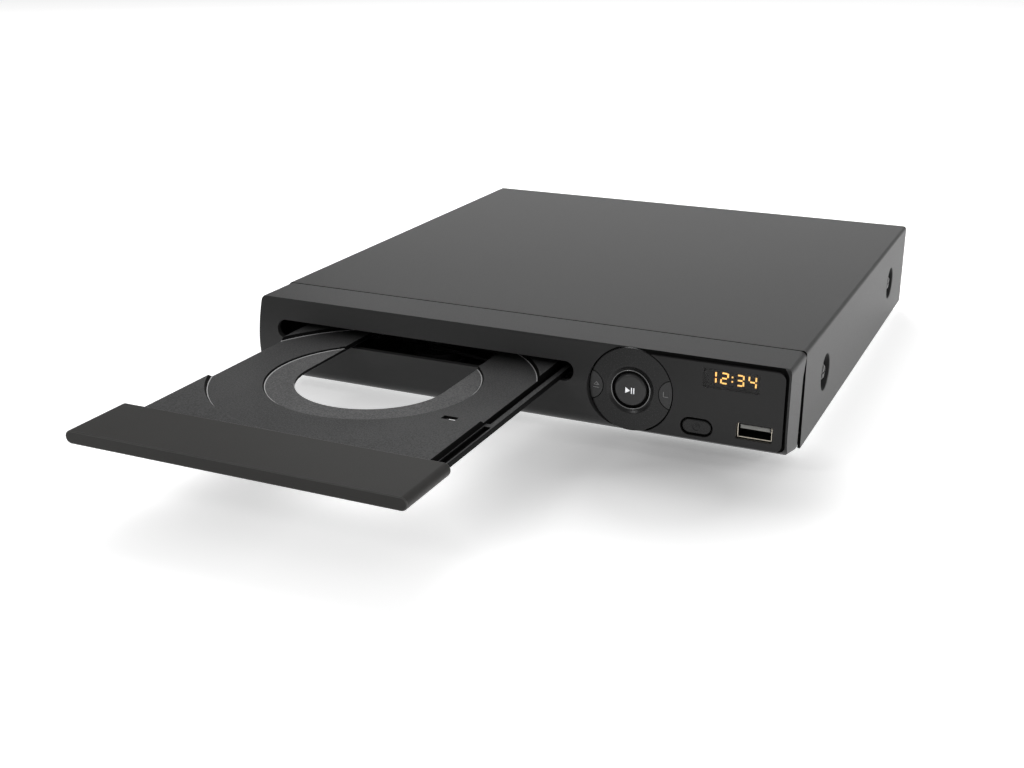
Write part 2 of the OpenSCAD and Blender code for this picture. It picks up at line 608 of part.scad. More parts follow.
// ---- Tray ----
module disc_tray() color(tray_grey) in_case() difference() {
  union() {
    block([tray_left, lip_back_y, plate_z], [tray_right, tray_back_y, tray_z]);
    block([tray_right - 0.5, lip_back_y, skirt_z], [tray_right + 0.3, disc_y - 23, disc_z - 1]);
    block([disc_x - 48, lip_back_y - tongue_in, plate_z + 0.4],
      [disc_x + 48, lip_back_y + 1, plate_z + 2.4]);
    block([tray_left, lip_back_y, skirt_z], [tray_left + 1.6, tray_back_y, plate_z + 1]);
    block([tray_right - 0.5, lip_back_y, skirt_z], [rail_out, tray_back_y, rail_top]);
    translate([rack_x, rack_y, skirt_z])
      linear_extrude(disc_z - rack_band - skirt_z + 0.2) rack_outline(rack_teeth, gear_m, 2.9);
  }
  translate([disc_x, disc_y, disc_z]) cylinder(r1 = disc_r, r2 = disc_r + 0.9, h = disc_deep);
  translate([disc_x, disc_y, disc_z + disc_deep]) cylinder(r = disc_r + 0.9, h = 5);
  translate([disc_x, disc_y, small_z])
    cylinder(r1 = small_disc_r, r2 = small_disc_r + 0.8, h = small_deep);
  translate([disc_x, disc_y, small_z + small_deep]) cylinder(r = small_disc_r + 0.8, h = 5);
  pole(disc_x, disc_y, 0, 40, window_r);
  block([disc_x - window_r, disc_y, 0], [disc_x + window_r, window_back_y, 40]);
  block([disc_x + 41.4, disc_y - 25.2, 0], [disc_x + 46.8, disc_y - 22.4, 40]);
  block([tray_right + 0.5, disc_y - 61.5, skirt_z + 0.7], [rail_out - 0.8, disc_y - 23.7, 40]);
  block([tray_right, disc_y - 21, rail_top - 0.9], [tray_right + 1.6, tray_back_y - 4, 40]);
  difference() {
    block([drive_x - 6.2, rack_y - 1.5, 0], [rack_x + 1.5, drive_y + 7, disc_z - rack_band]);
    translate([rack_x, rack_y, 0]) linear_extrude(40) rack_outline(rack_teeth, gear_m, 2.9);
  }
}
module tray_lip() color(lip_grey) in_case() difference() {
  along_y(lip_front_y, lip_back_y) translate([slot_x, lip_z + lip_h / 2]) stadium(lip_w, lip_h);
  block([disc_x - 48 - seat, lip_back_y - tongue_in - 0.2, plate_z + 0.4 - seat],
    [disc_x + 48 + seat, lip_back_y + 1, plate_z + 2.4 + seat]);
}

// ---- Loader ----
module frame_side() {
  block([frame_left, frame_y, frame_z], [frame_left + frame_wall, frame_back, tab_z + 1.4]);
}
module loader_frame() color(loader_black) in_case() difference() {
  union() {
    block([frame_left, frame_y, frame_z], [frame_right, front_floor_y, frame_top]);
    block([frame_left, rear_floor_y, frame_z], [frame_right, frame_back, frame_top]);
    block([frame_left, frame_back - frame_wall, frame_z], [frame_right, frame_back, 20]);
    block([frame_left, frame_y, frame_z], [frame_left + frame_wall, frame_back, tab_z + 1.4]);
    block([frame_right - frame_wall, frame_y, frame_z], [frame_right, frame_back, tab_z + 1.4]);
    block([frame_left + 1, frame_y, shelf_z - 1.6],
      [tray_left + 1.5, frame_back - 1, shelf_z]);
    block([rack_x + 2.9, frame_y, shelf_z - 1.8], [frame_right - 1, frame_back - 1, shelf_z]);
    for (y = [24, spindle_y + 50]) {
      block([frame_left, y, tab_z], [tray_left + 3, y + 10, tab_z + 1.4]);
      block([tray_right - 3, y, tab_z], [frame_right, y + 10, tab_z + 1.4]);
    }
    block([frame_left, spindle_y - bridge_half, tab_z + 0.3],
      [frame_left + 9, spindle_y + bridge_half, bridge_z]);
    block([frame_right - 9, spindle_y - bridge_half, tab_z + 0.3],
      [frame_right, spindle_y + bridge_half, bridge_z]);
    for (s = [-1, 1]) translate([disc_x + s * (deck_half + 1 + ear_t / 2), 0, 0])
      block([-ear_t / 2, pivot_y - 5, frame_z], [ear_t / 2, pivot_y + 5, pivot_z + 4]);
    pole(drive_x, drive_y, frame_top - 0.1, pinion_top + 0.1, axle_r);
    pole(belt_x, drive_y, frame_top - 0.1, wheel_z + wheel_t + 0.8, axle_r);
    for (x = [drive_x, belt_x]) pole(x, drive_y, frame_top - 0.1, belt_z - 2.2, 2.6);
    difference() {
      pole(motor_x, motor_y, frame_top - 0.1, frame_top + 3, motor_r + 1.5);
      pole(motor_x, motor_y, frame_top - 1, frame_top + 4, motor_r + 0.05);
    }
    for (x = [disc_x - 42, disc_x + 24]) {
      block([x, cam_y - 4.9, frame_top - 0.1], [x + 8, cam_y - 3.7, frame_top + 3]);
      block([x, cam_y - 4.9, frame_top + 1.8], [x + 8, cam_y - 1.4, frame_top + 3]);
    }
  }
  for (x = post_x, y = post_y) pole(x, y, frame_z - 1, frame_top + 1, screw_r + 0.2);
  for (s = [-1, 1]) translate([disc_x + s * (deck_half + 1 + ear_t / 2), 0, 0])
    bar_x(pivot_y, pivot_z, -ear_t, ear_t, 2.06);
  for (x = [frame_left + 4.5, frame_right - 4.5], y = [-6, 6])
    pole(x, spindle_y + y, tab_z - 3, bridge_z + 1, 1.03);
}
module loader_screws() color(shiny_steel) in_case() for (x = post_x, y = post_y)
  translate([x, y, frame_top]) pan_screw(3, 1.6, screw_r, frame_top - 0.5);
module tray_motor() color(shiny_steel) in_case() {
  pole(motor_x, motor_y, frame_top, belt_z - 2.2, motor_r);
  pole(motor_x, motor_y, belt_z - 2.3, belt_z - 1.8, 3);
  pole(motor_x, motor_y, belt_z - 2.3, belt_z + 1.9, 1);
}
module pulley_outline(r) polygon([[1.06, -1.6], [r + 1.4, -1.6], [r + 1.4, -1.1], [r + 0.1, -0.65],
  [r + 0.1, 0.65], [r + 1.4, 1.1], [r + 1.4, 1.6], [1.06, 1.6]]);
module motor_pulley() color(gear_white) in_case()
  translate([motor_x, motor_y, belt_z]) rotate_extrude() pulley_outline(pulley_small);
belt_d = [belt_x - motor_x, drive_y - motor_y];
belt_lean = acos((pulley_big - pulley_small) / norm(belt_d));
function belt_arc(at, r, from, sweep, n) = [for (i = [0 : n]) let (a = from + sweep * i / n)
  at + r * [cos(a), sin(a)]];
module belt_loop(grow) translate([motor_x, motor_y]) rotate([0, 0, atan2(belt_d[1], belt_d[0])])
  polygon(concat(
    belt_arc([0, 0], pulley_small + grow, 180 - belt_lean, 2 * belt_lean, 20),
    belt_arc([norm(belt_d), 0], pulley_big + grow, belt_lean - 180, 360 - 2 * belt_lean, 40)));
module drive_belt() color(rubber_black) in_case() translate([0, 0, belt_z - belt_t / 2])
  linear_extrude(belt_t) difference() {
    belt_loop(0.12 + 1.1);
    belt_loop(0.16);
  }
module belt_gear() color(gear_white) in_case() translate([belt_x, drive_y, 0]) difference() {
  union() {
    translate([0, 0, belt_z]) rotate_extrude() pulley_outline(pulley_big);
    translate([0, 0, belt_z - 1.6]) cylinder(r = 4, h = 3.2);
    translate([0, 0, belt_z + 1.5]) cylinder(r = 2.9, h = wheel_z - belt_z - 1.4);
    translate([0, 0, wheel_z]) rotate([0, 0, 180 / belt_pinion_teeth])
      linear_extrude(wheel_t + 0.4) gear_outline(belt_pinion_teeth, wheel_m);
  }
  cylinder(r = axle_bore, h = 40);
}
module drive_gear() color(gear_white) in_case() translate([drive_x, drive_y, 0]) difference() {
  union() {
    translate([0, 0, belt_z - 2.1]) cylinder(r = 2.3, h = wheel_z - belt_z + 2.2);
    translate([0, 0, wheel_z]) linear_extrude(wheel_t) gear_outline(wheel_teeth, wheel_m);
    translate([0, 0, wheel_z + wheel_t - 0.1]) linear_extrude(pinion_top - wheel_z - wheel_t + 0.1)
      gear_outline(pinion_teeth, gear_m);
  }
  cylinder(r = axle_bore, h = 40);
}
module cam_slider() color(gear_white) in_case() difference() {
  union() {
    block([disc_x - cam_travel - 10, cam_y, frame_top + 0.1],
      [disc_x + 12, cam_y + cam_t, cam_top]);
    block([disc_x - cam_travel - 22, cam_y - 3.5, frame_top + 0.1],
      [disc_x + 12, cam_y + 0.1, frame_top + 1.5]);
  }
  rise = [-cam_travel, cam_pin_z - cam_low];
  along_y(cam_y - 1, cam_y + cam_t + 1)
    translate([disc_x, cam_low] + rise / 2) rotate([0, 0, atan2(rise[1], rise[0])])
      stadium(norm(rise) + 2 * cam_pin_r + 0.8, 2 * cam_pin_r + 0.8);
}

// ---- Traverse deck ----
module traverse_deck() color(steel) on_deck() difference() {
  union() {
    block([disc_x - deck_half, deck_front_y, deck_z], [disc_x + deck_half, deck_back_y, deck_top]);
    block([disc_x - 7, deck_front_y, deck_z], [disc_x + 7, deck_front_y + 2, cam_pin_z + 2.2]);
    bar_y(disc_x, cam_pin_z, cam_y - 0.4, deck_front_y + 0.1, cam_pin_r);
    for (s = [-1, 1]) translate([disc_x + s * (deck_half + ear_t / 2 + 0.4), 0, 0])
      bar_x(pivot_y, pivot_z, -ear_t / 2 - 1.4, ear_t / 2 + 0.8, 2);
    for (s = [-1, 1]) {
      block([disc_x + s * deck_half - 1, pivot_y - 4, deck_z],
        [disc_x + s * deck_half + 1, pivot_y + 4, deck_top + 1.2]);
      for (y = [spindle_y + 13, pivot_y - 7])
        block([disc_x + s * rod_off - 3, y, deck_top - 0.1],
          [disc_x + s * rod_off + 3, y + 4, rod_z + 2.8]);
    }
    pole(sled_gear_x, sled_gear_y, deck_z, sled_wheel_z + 2.4, 1);
  }
  block([disc_x - 25, spindle_y + 18, 0], [disc_x + 29.5, pivot_y - 8, 40]);
  for (s = [-1, 1]) bar_y(disc_x + s * rod_off, rod_z, spindle_y + 14.5, pivot_y - 4.5, rod_r + 0.02);
  for (s = [-1, 1]) block([disc_x + s * 38 - 6, spindle_y + 0, 0],
    [disc_x + s * 38 + 6, spindle_y + 18, 40]);
  pole(disc_x, spindle_y, 0, 40, 3.4);
}
module spindle_motor() color(shiny_steel) on_deck() {
  pole(disc_x, spindle_y, deck_top, 20.6, spindle_r);
  pole(disc_x, spindle_y, 20.5, 22.4, spindle_r - 2.5);
  pole(disc_x, spindle_y, deck_z + 0.4, deck_top + 0.1, 3.3);
  pole(disc_x, spindle_y, 22.3, 25, 1);
}
module turntable() color(plastic_black) on_deck() translate([disc_x, spindle_y, 0])
  rotate_extrude() polygon([[1.05, 22.9], [4, 22.9], [4, turntable_z - 1.8],
    [turntable_r, turntable_z - 1.8], [turntable_r, turntable_z], [hub_r, turntable_z],
    [hub_r, turntable_z + 1], [hub_r - 1.6, turntable_z + 2], [2.2, turntable_z + 2],
    [1.6, turntable_z + 1.6], [1.05, turntable_z + 1.6]]);
module guide_rods() color(shiny_steel) on_deck() for (s = [-1, 1])
  bar_y(disc_x + s * rod_off, rod_z, spindle_y + 14.6, pivot_y - 4.6, rod_r);
module laser_sled() color(loader_black) on_deck() difference() {
  union() {
    block([disc_x - sled_half, sled_y - sled_long, 15.2],
      [disc_x + sled_half, sled_y + sled_long, 20.2]);
    block([disc_x - 11, sled_y - sled_long + 1, 20.1],
      [disc_x + 11, sled_y + sled_long - 3, 22.2]);
    block([disc_x + sled_half - 1, sled_y - 8, sled_rack_z],
      [sled_rack_x + 0.1 - 1.6, sled_y + 8, sled_rack_z + 2.6]);
    translate([sled_rack_x, sled_gear_y - 13 * PI * sled_m, sled_rack_z]) mirror([1, 0, 0])
      linear_extrude(2.6) rack_outline(15, sled_m, 2.4);
  }
  for (s = [-1, 1]) bar_y(disc_x + s * rod_off, rod_z, sled_y - 12, sled_y + 12, rod_bore);
  pole(disc_x, sled_y - 3, 19, 30, 5.1);
}
module objective_lens() color(lens_blue) on_deck() translate([disc_x, sled_y - 3, 0])
  rotate_extrude() polygon([[0, 19], [5.05, 19], [5.05, 22.6], [3.2, 22.8], [2.6, 23.3],
    [1.4, 23.6], [0, 23.7]]);
sled_motor_x = sled_gear_x + sled_mesh * cos(45);
sled_motor_y = sled_gear_y + sled_mesh * sin(45);
module sled_motor() color(shiny_steel) on_deck() {
  pole(sled_motor_x, sled_motor_y, deck_top, 18.1, 6);
  pole(sled_motor_x, sled_motor_y, 18, sled_wheel_z + 2.4, 1);
}
module sled_pinion() color(gear_white) on_deck()
  translate([sled_motor_x, sled_motor_y, sled_wheel_z]) linear_extrude(2.2) difference() {
    rotate([0, 0, 225 + 180 / sled_small_teeth]) gear_outline(sled_small_teeth, sled_m);
    circle(1.05);
  }
module sled_gear() color(gear_white) on_deck() translate([sled_gear_x, sled_gear_y, 0])
  difference() {
    union() {
      translate([0, 0, sled_rack_z]) rotate([0, 0, 180])
        linear_extrude(sled_wheel_z - sled_rack_z + 0.1) gear_outline(sled_small_teeth, sled_m);
      translate([0, 0, sled_wheel_z]) rotate([0, 0, 45])
        linear_extrude(2) gear_outline(sled_gear_teeth, sled_m);
    }
    cylinder(r = 1.06, h = 40);
  }

// ---- Clamp ----
module clamp_bridge() color(steel) in_case() difference() {
  union() {
    block([frame_left, spindle_y - bridge_half, bridge_z],
      [frame_right, spindle_y + bridge_half, bridge_z + bridge_t]);
    pole(disc_x, spindle_y, bridge_z, bridge_z + bridge_t, 19);
  }
  pole(disc_x, spindle_y, bridge_z - 1, bridge_z + 3, 9);
  for (x = [frame_left + 4.5, frame_right - 4.5], y = [-6, 6])
    pole(x, spindle_y + y, bridge_z - 1, bridge_z + 3, 1.3);
  for (s = [-1, 1]) translate([disc_x + s * 38, spindle_y, bridge_z - 1]) linear_extrude(4)
    stadium(26, 8);
}
module bridge_screws() color(shiny_steel) in_case()
  for (x = [frame_left + 4.5, frame_right - 4.5], y = [-6, 6])
    translate([x, spindle_y + y, bridge_z + bridge_t]) pan_screw(2.3, 1.2, 1, 3.4);
module disc_clamp() color(plastic_black) in_case() translate([disc_x, spindle_y, 0])
  rotate_extrude() polygon([[0, bridge_z - 1.3], [8, bridge_z - 1.3], [8, tab_z + 0.1],
    [13.5, tab_z + 0.1], [14, tab_z + 0.5], [14, bridge_z - 1.1], [8.8, bridge_z - 1.1],
    [8.8, bridge_z + bridge_t + 0.1], [13, bridge_z + bridge_t + 0.1],
    [12.4, bridge_z + bridge_t + 1.3], [0, bridge_z + bridge_t + 1.3]]);

// ---- Boards and sockets ----
module main_board() color(board_green) in_case() difference() {
  block([main_left, main_front, board_z], [main_right, main_back, board_top]);
  for (p = main_stand) pole(p[0], p[1], 0, 20, screw_r + 0.2);
}
module board_chips() color(chip_black) in_case() {
  block([main_right - 46, 120, board_top], [main_right - 22, 144, board_top + 2]);
  block([main_right - 46, 84, board_top], [main_right - 32, 96, board_top + 1.4]);
  block([main_right - 20, 84, board_top], [main_right - 6, 96, board_top + 1.4]);
  block([main_left + 8.8, 124, board_top], [main_left + 16.8, 140, board_top + 1.6]);
  block([ring_x + 5.8, main_front + 2, board_top], [ring_x + 27.8, main_front + 6,
    board_top + 4]);
  block([main_left + 2, main_back - 78, board_top], [main_left + 6, main_back - 62,
    board_top + 4]);
}
module heat_sink() color(steel) in_case() {
  x = main_right - 44;
  block([x, 122, board_top + 2], [x + 20, 142, board_top + 4]);
  for (i = [0 : 6]) block([x + 3.1 * i, 122, board_top + 3.9],
    [x + 1.4 + 3.1 * i, 142, board_top + 12]);
}
module capacitor(x, y, z, r, h) translate([x, y, z]) rotate_extrude()
  polygon([[0, 0], [r, 0], [r, 0.8], [r - 0.25, 1.3], [r, 1.8], [r, h - 0.4], [r - 0.4, h],
    [r * 0.6, h], [r * 0.6, h - 0.3], [0, h - 0.3]]);
module board_capacitors() color(chip_black) in_case() {
  for (p = [[60, 108], [50, 108], [16, 108], [8, 130], [16, 160], [48, 160]])
    capacitor(main_right - p[0], p[1], board_top, 3.2, 11);
  capacitor(power_right - 26, power_front + 10, board_top, 6.3, 20);
  capacitor(power_right - 10, power_front + 22, board_top, 4, 14);
  capacitor(power_right - 21, power_front + 25, board_top, 4, 14);
}
module board_screws() color(shiny_steel) in_case() for (p = concat(main_stand, power_stand))
  translate([p[0], p[1], board_top]) pan_screw(2.9, 1.5, screw_r, board_top - 0.6);
module av_block() color(chip_black) in_case() difference() {
  block([av_x[0] - 7.5, rear_y - 15, board_top], [av_x[2] + 7.5, rear_y - 0.1, av_z[1] + 6.6]);
  for (x = av_x, z = av_z) bar_y(x, z, rear_y - 6.1, rear_y + 1, av_r + 0.03);
}
module av_barrels() color(gold) in_case() for (x = av_x, z = av_z) difference() {
  union() {
    bar_y(x, z, rear_y - 6, case_d + socket_out, 4.15);
    bar_y(x, z, rear_y - 6, rear_y + sheet + 0.4, av_r);
  }
  bar_y(x, z, rear_y + 2, case_d + socket_out + 1, 1.7);
}
module hdmi_shell() color(shiny_steel) in_case() along_y(rear_y - 11, case_d - 0.2) difference() {
  translate([hdmi_x, hdmi_z]) polygon([[-7.5, 2.8], [7.5, 2.8], [7.5, -0.6], [5.6, -2.8],
    [-5.6, -2.8], [-7.5, -0.6]]);
  translate([hdmi_x, hdmi_z]) polygon([[-7.0, 2.3], [7.0, 2.3], [7.0, -0.4], [5.4, -2.3],
    [-5.4, -2.3], [-7.0, -0.4]]);
}
module hdmi_tongue() color(chip_black) in_case() {
  block([hdmi_x - 5, rear_y - 9, hdmi_z - 0.2], [hdmi_x + 5, case_d - 1.4, hdmi_z + 0.9]);
  along_y(rear_y - 11, rear_y - 8.9) translate([hdmi_x, hdmi_z]) polygon([[-6.95, 2.25],
    [6.95, 2.25], [6.95, -0.4], [5.35, -2.25], [-5.35, -2.25], [-6.95, -0.4]]);
  block([hdmi_x - 4, rear_y - 11, board_top], [hdmi_x + 4, rear_y - 9, hdmi_z - 2.85]);
}
module power_board() color(cream) in_case() difference() {
  block([power_left, power_front, board_z], [power_right, main_back, board_top]);
  for (p = power_stand) pole(p[0], p[1], 0, 20, screw_r + 0.2);
}
module transformer() color(gold) in_case() {
  tx = power_right - 50;
  ty = (power_front + main_back) / 2;
  block([tx - 11, ty - 12, board_top], [tx + 11, ty + 12, board_top + 2.4]);
  block([tx - 7, ty - 9, board_top + 2.3], [tx + 7, ty + 9, board_top + 15]);
  block([tx - 11, ty - 12, board_top + 15 - 0.1], [tx + 11, ty + 12, board_top + 17.4]);
  for (s = [-1, 1]) block([tx + s * 9 - 2, ty - 9, board_top + 2.3],
    [tx + s * 9 + 2, ty + 9, board_top + 15]);
}
module inlet_outline() stadium(17.2, 9.2);
module mains_inlet() color(chip_black) in_case() difference() {
  union() {
    along_y(rear_y - 16, case_d + 0.6) translate([inlet_x, inlet_z]) rounded(21, 13, 2.7);
    along_y(case_d, case_d + 1.6) translate([inlet_x, inlet_z]) rounded(25, 17, 2.5);
    block([inlet_x - 10, rear_y - 16, board_top], [inlet_x + 10, rear_y - 2, inlet_z]);
  }
  along_y(rear_y - 11, case_d + 3) translate([inlet_x, inlet_z]) inlet_outline();
}
module inlet_pins() color(shiny_steel) in_case() for (s = [-1, 1])
  bar_y(inlet_x + s * 4.1, inlet_z, rear_y - 11, case_d - 1, 1.15);
// A flat cable of thickness t along the points p in Y and Z, between x0 and x1
module flat_cable(x0, x1, p, t) along_x(x0, x1) polygon(concat(p,
  [for (i = [len(p) - 1 : -1 : 0]) p[i] + [t * 0.7, t]]));
module front_ribbon() color(cream) in_case() {
  flat_cable(ring_x + 7.8, ring_x + 25.8, [[front_board_y + 0.02, 15], [3, 15], [9, 12.4], [20, 9], [46, 9],
    [58, board_top + 4.05], [main_front + 3, board_top + 4.05]], 0.35);
}
module loader_ribbon() color(cream) in_case() {
  block([frame_right - 24, frame_back - 14, frame_top],
    [frame_right - 12, frame_back - 8.4, frame_top + 3]);
  along_y(frame_back - 13.6, frame_back - 8.8) polygon([[frame_right - 12.1, frame_top + 1],
    [frame_right - 2, frame_top + 1], [frame_right - 2, frame_top + 1.35],
    [frame_right - 12.1, frame_top + 1.35]]);
}
module power_leads() color("#8c2f2a") in_case() for (i = [0 : 2])
  bar_x(power_front + (main_back - power_front) * 0.2 + 2.2 * i, board_top + 1.0,
    power_right - 6, main_left + 4, 0.95);

top_cover();
chassis();
rubber_feet();
cover_screws();
rear_screws();
front_fascia();
display_panel();
control_ring();
play_trim_ring();
play_button();
eject_button();
stop_button();
power_button();
front_board();
tact_switches();
ir_receiver();
front_board_screws();
display_module();
display_digits();
usb_shell();
usb_tongue();
usb_contacts();
disc_tray();
tray_lip();
loader_frame();
tray_motor();
motor_pulley();
drive_belt();
belt_gear();
drive_gear();
cam_slider();
traverse_deck();
spindle_motor();
turntable();
guide_rods();
laser_sled();
objective_lens();
sled_motor();
sled_pinion();
sled_gear();
clamp_bridge();
disc_clamp();
bridge_screws();
loader_screws();
main_board();
board_chips();
heat_sink();
board_capacitors();
board_screws();
av_block();
av_barrels();
hdmi_shell();
hdmi_tongue();
power_board();
transformer();
mains_inlet();
inlet_pins();
front_ribbon();
loader_ribbon();
power_leads();
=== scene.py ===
"""Looks of the disc player: finishes, softened edges, printed marks, studio and camera."""

import json
import logging
import math
from dataclasses import dataclass, field
from enum import Enum
from functools import cache
from typing import Callable, Iterable

import bmesh
import bpy
from mathutils import Matrix, Vector

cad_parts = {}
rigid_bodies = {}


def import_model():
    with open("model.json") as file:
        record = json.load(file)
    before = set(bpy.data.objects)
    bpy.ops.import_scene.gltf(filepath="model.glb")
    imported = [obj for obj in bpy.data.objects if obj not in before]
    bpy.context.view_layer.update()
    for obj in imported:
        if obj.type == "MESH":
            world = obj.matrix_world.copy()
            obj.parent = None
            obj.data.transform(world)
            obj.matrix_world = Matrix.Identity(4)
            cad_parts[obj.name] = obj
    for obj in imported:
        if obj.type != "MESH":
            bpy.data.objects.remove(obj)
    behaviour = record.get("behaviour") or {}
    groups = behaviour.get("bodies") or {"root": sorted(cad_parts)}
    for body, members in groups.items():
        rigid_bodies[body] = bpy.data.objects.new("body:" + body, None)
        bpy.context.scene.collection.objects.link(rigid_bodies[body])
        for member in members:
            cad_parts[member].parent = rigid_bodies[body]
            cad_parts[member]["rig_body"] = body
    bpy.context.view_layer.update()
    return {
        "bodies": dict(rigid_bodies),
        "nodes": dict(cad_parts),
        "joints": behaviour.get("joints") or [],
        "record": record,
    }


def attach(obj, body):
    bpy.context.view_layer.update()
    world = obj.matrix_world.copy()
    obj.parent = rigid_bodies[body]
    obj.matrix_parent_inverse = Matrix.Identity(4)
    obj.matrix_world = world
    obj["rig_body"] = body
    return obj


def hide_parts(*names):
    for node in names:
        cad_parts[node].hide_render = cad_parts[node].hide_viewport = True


LOG = logging.getLogger("disc_player")
MM = 0.001
Colour = tuple[float, float, float]

# The case's own drawing frame, moved to the part's frame: the middle of the footprint
MIDDLE_Y = 35.75
FOOT_H = 4.0

# Angles between faces: up to FLAT they are joined, from CORNER on rounded, and up to SMOOTH, or
# SMOOTH_CAD on a CAD node, shaded as one
FLAT = math.radians(0.6)
CORNER = math.radians(28.0)
SMOOTH = math.radians(35.0)
SMOOTH_CAD = math.radians(30.0)

# Distances in metres within which corner points of new and CAD meshes are joined
WELD = 1e-7
WELD_CAD = 2e-6

# Tolerance in millimetres for where a face lies
NEAR = 0.06

# Share of a normal along an axis from which a face counts as facing that way
FACING = 0.9

# Full white, with alpha
WHITE = (1.0, 1.0, 1.0, 1.0)


def at(x: float, y: float, z: float) -> Vector:
    """A point of the case's own drawing, in millimetres, in the part's frame in metres.

    Args:
        x: To the right of the middle of the case.
        y: Behind the seam between front moulding and cover.
        z: Above the underside of the metal case.

    Returns:
        The point in metres.
    """
    return Vector((x, y - MIDDLE_Y, z + FOOT_H)) * MM


def in_case(point: Vector) -> Vector:
    """A point of the part's frame, in metres, in the case's own millimetres."""
    return Vector((point.x / MM, point.y / MM + MIDDLE_Y, point.z / MM - FOOT_H))


# ---------------------------------------------------------------- finishes


class Nodes:
    """A node tree under construction, with short calls for the nodes that are used often."""

    def __init__(self, owner: bpy.types.ID) -> None:
        """Starts an empty tree.

        Args:
            owner: The material or world that the tree belongs to.
        """
        owner.use_nodes = True
        self.tree = owner.node_tree
        self.tree.nodes.clear()

    def feed(self, target: bpy.types.NodeSocket, term: object) -> None:
        """Gives an input what it takes in.

        Args:
            target: The input.
            term: Another node's output to join it to, or else a constant.
        """
        if isinstance(term, bpy.types.NodeSocket):
            self.tree.links.new(term, target)
        else:
            target.default_value = term

    def node(self, kind: str, inputs: dict[str | int, object] | None = None,
             **settings: object) -> bpy.types.Node:
        """Adds a node.

        Args:
            kind: Blender's name of the node type.
            inputs: What its inputs take in, by their names or numbers.
            settings: Attributes to set on it.

        Returns:
            The new node.
        """
        made = self.tree.nodes.new(kind)
        for key, value in settings.items():
            setattr(made, key, value)
        for key, term in (inputs or {}).items():
            self.feed(made.inputs[key], term)
        return made

    def spread(self, source: bpy.types.NodeSocket, low: float, high: float,
               from_low: float = 0.3, from_high: float = 0.7) -> bpy.types.NodeSocket:
        """Maps a factor onto a range.

        Args:
            source: Factor to map.
            low: Value at from_low.
            high: Value at from_high.
            from_low: Factor that gives low.
            from_high: Factor that gives high.

        Returns:
            The mapped socket.
        """
        return self.node("ShaderNodeMapRange", {
            "Value": source, "From Min": from_low, "From Max": from_high,
            "To Min": low, "To Max": high}, clamp=True).outputs["Result"]

    def calc(self, operation: str, *terms: bpy.types.NodeSocket | float
             ) -> bpy.types.NodeSocket:
        """Works out a number.

        Args:
            operation: Blender's name of the sum.
            terms: What it takes in, as sockets or plain numbers.

        Returns:
            The result's socket.
        """
        return self.node("ShaderNodeMath", dict(enumerate(terms)), operation=operation).outputs[0]

    def seen(self) -> bpy.types.NodeSocket:
        """A factor that is 1 where a surface is seen, directly or through glass, and else 0."""
        path = self.node("ShaderNodeLightPath")
        return self.calc("MAXIMUM", path.outputs["Is Camera Ray"],
                         path.outputs["Is Transmission Ray"])

    def mirrored(self) -> bpy.types.NodeSocket:
        """A factor that is 1 where a surface shows in a reflection, and else 0."""
        return self.node("ShaderNodeLightPath").outputs["Is Glossy Ray"]


class Shader(Nodes):
    """A material under construction, around one Principled shader."""

    def __init__(self, name: str) -> None:
        """Starts an empty material with a Principled shader.

        Args:
            name: Name of the material.
        """
        self.material = bpy.data.materials.new(name)
        super().__init__(self.material)
        self.body = self.node("ShaderNodeBsdfPrincipled")
        self.node("ShaderNodeOutputMaterial", {"Surface": self.body.outputs["BSDF"]})
        self.coord = self.node("ShaderNodeTexCoord").outputs["Object"]

    def noise(self, scale: float, detail: float = 3.0, stretch: Colour = (1.0, 1.0, 1.0)
              ) -> bpy.types.NodeSocket:
        """A noise pattern on object coordinates.

        Args:
            scale: Cells per metre.
            detail: Octaves.
            stretch: Factor along each axis, for streaks.

        Returns:
            The factor socket.
        """
        place = self.node("ShaderNodeMapping", {"Vector": self.coord, "Scale": stretch})
        return self.node("ShaderNodeTexNoise", {
            "Vector": place.outputs["Vector"], "Scale": scale, "Detail": detail,
            "Roughness": 0.55}).outputs["Fac"]

    def blend(self, factor: bpy.types.NodeSocket, a: Colour, b: Colour) -> bpy.types.NodeSocket:
        """Mixes two colours by a factor.

        Args:
            factor: Where b shows.
            a: Colour at 0.
            b: Colour at 1.

        Returns:
            The colour socket.
        """
        return self.node("ShaderNodeMix", {"Factor": factor, "A": (*a, 1.0), "B": (*b, 1.0)},
                         data_type="RGBA").outputs["Result"]

    def bump(self, height: bpy.types.NodeSocket, strength: float, distance: float) -> None:
        """Presses a height pattern into the surface's normals.

        Args:
            height: Pattern.
            strength: Share of the effect.
            distance: Depth in metres.
        """
        made = self.node("ShaderNodeBump", {
            "Height": height, "Strength": strength, "Distance": distance})
        self.set(Normal=made.outputs["Normal"])

    def set(self, **terms: object) -> None:
        """Feeds inputs of the Principled shader, underscores standing for spaces."""
        for key, term in terms.items():
            self.feed(self.body.inputs[key.replace("_", " ")], term)


def shade(colour: Colour, factor: float) -> Colour:
    """A colour made lighter or darker.

    Args:
        colour: The colour.
        factor: What it is multiplied by.

    Returns:
        The new colour, no channel above 1.
    """
    return tuple(min(1.0, c * factor) for c in colour)


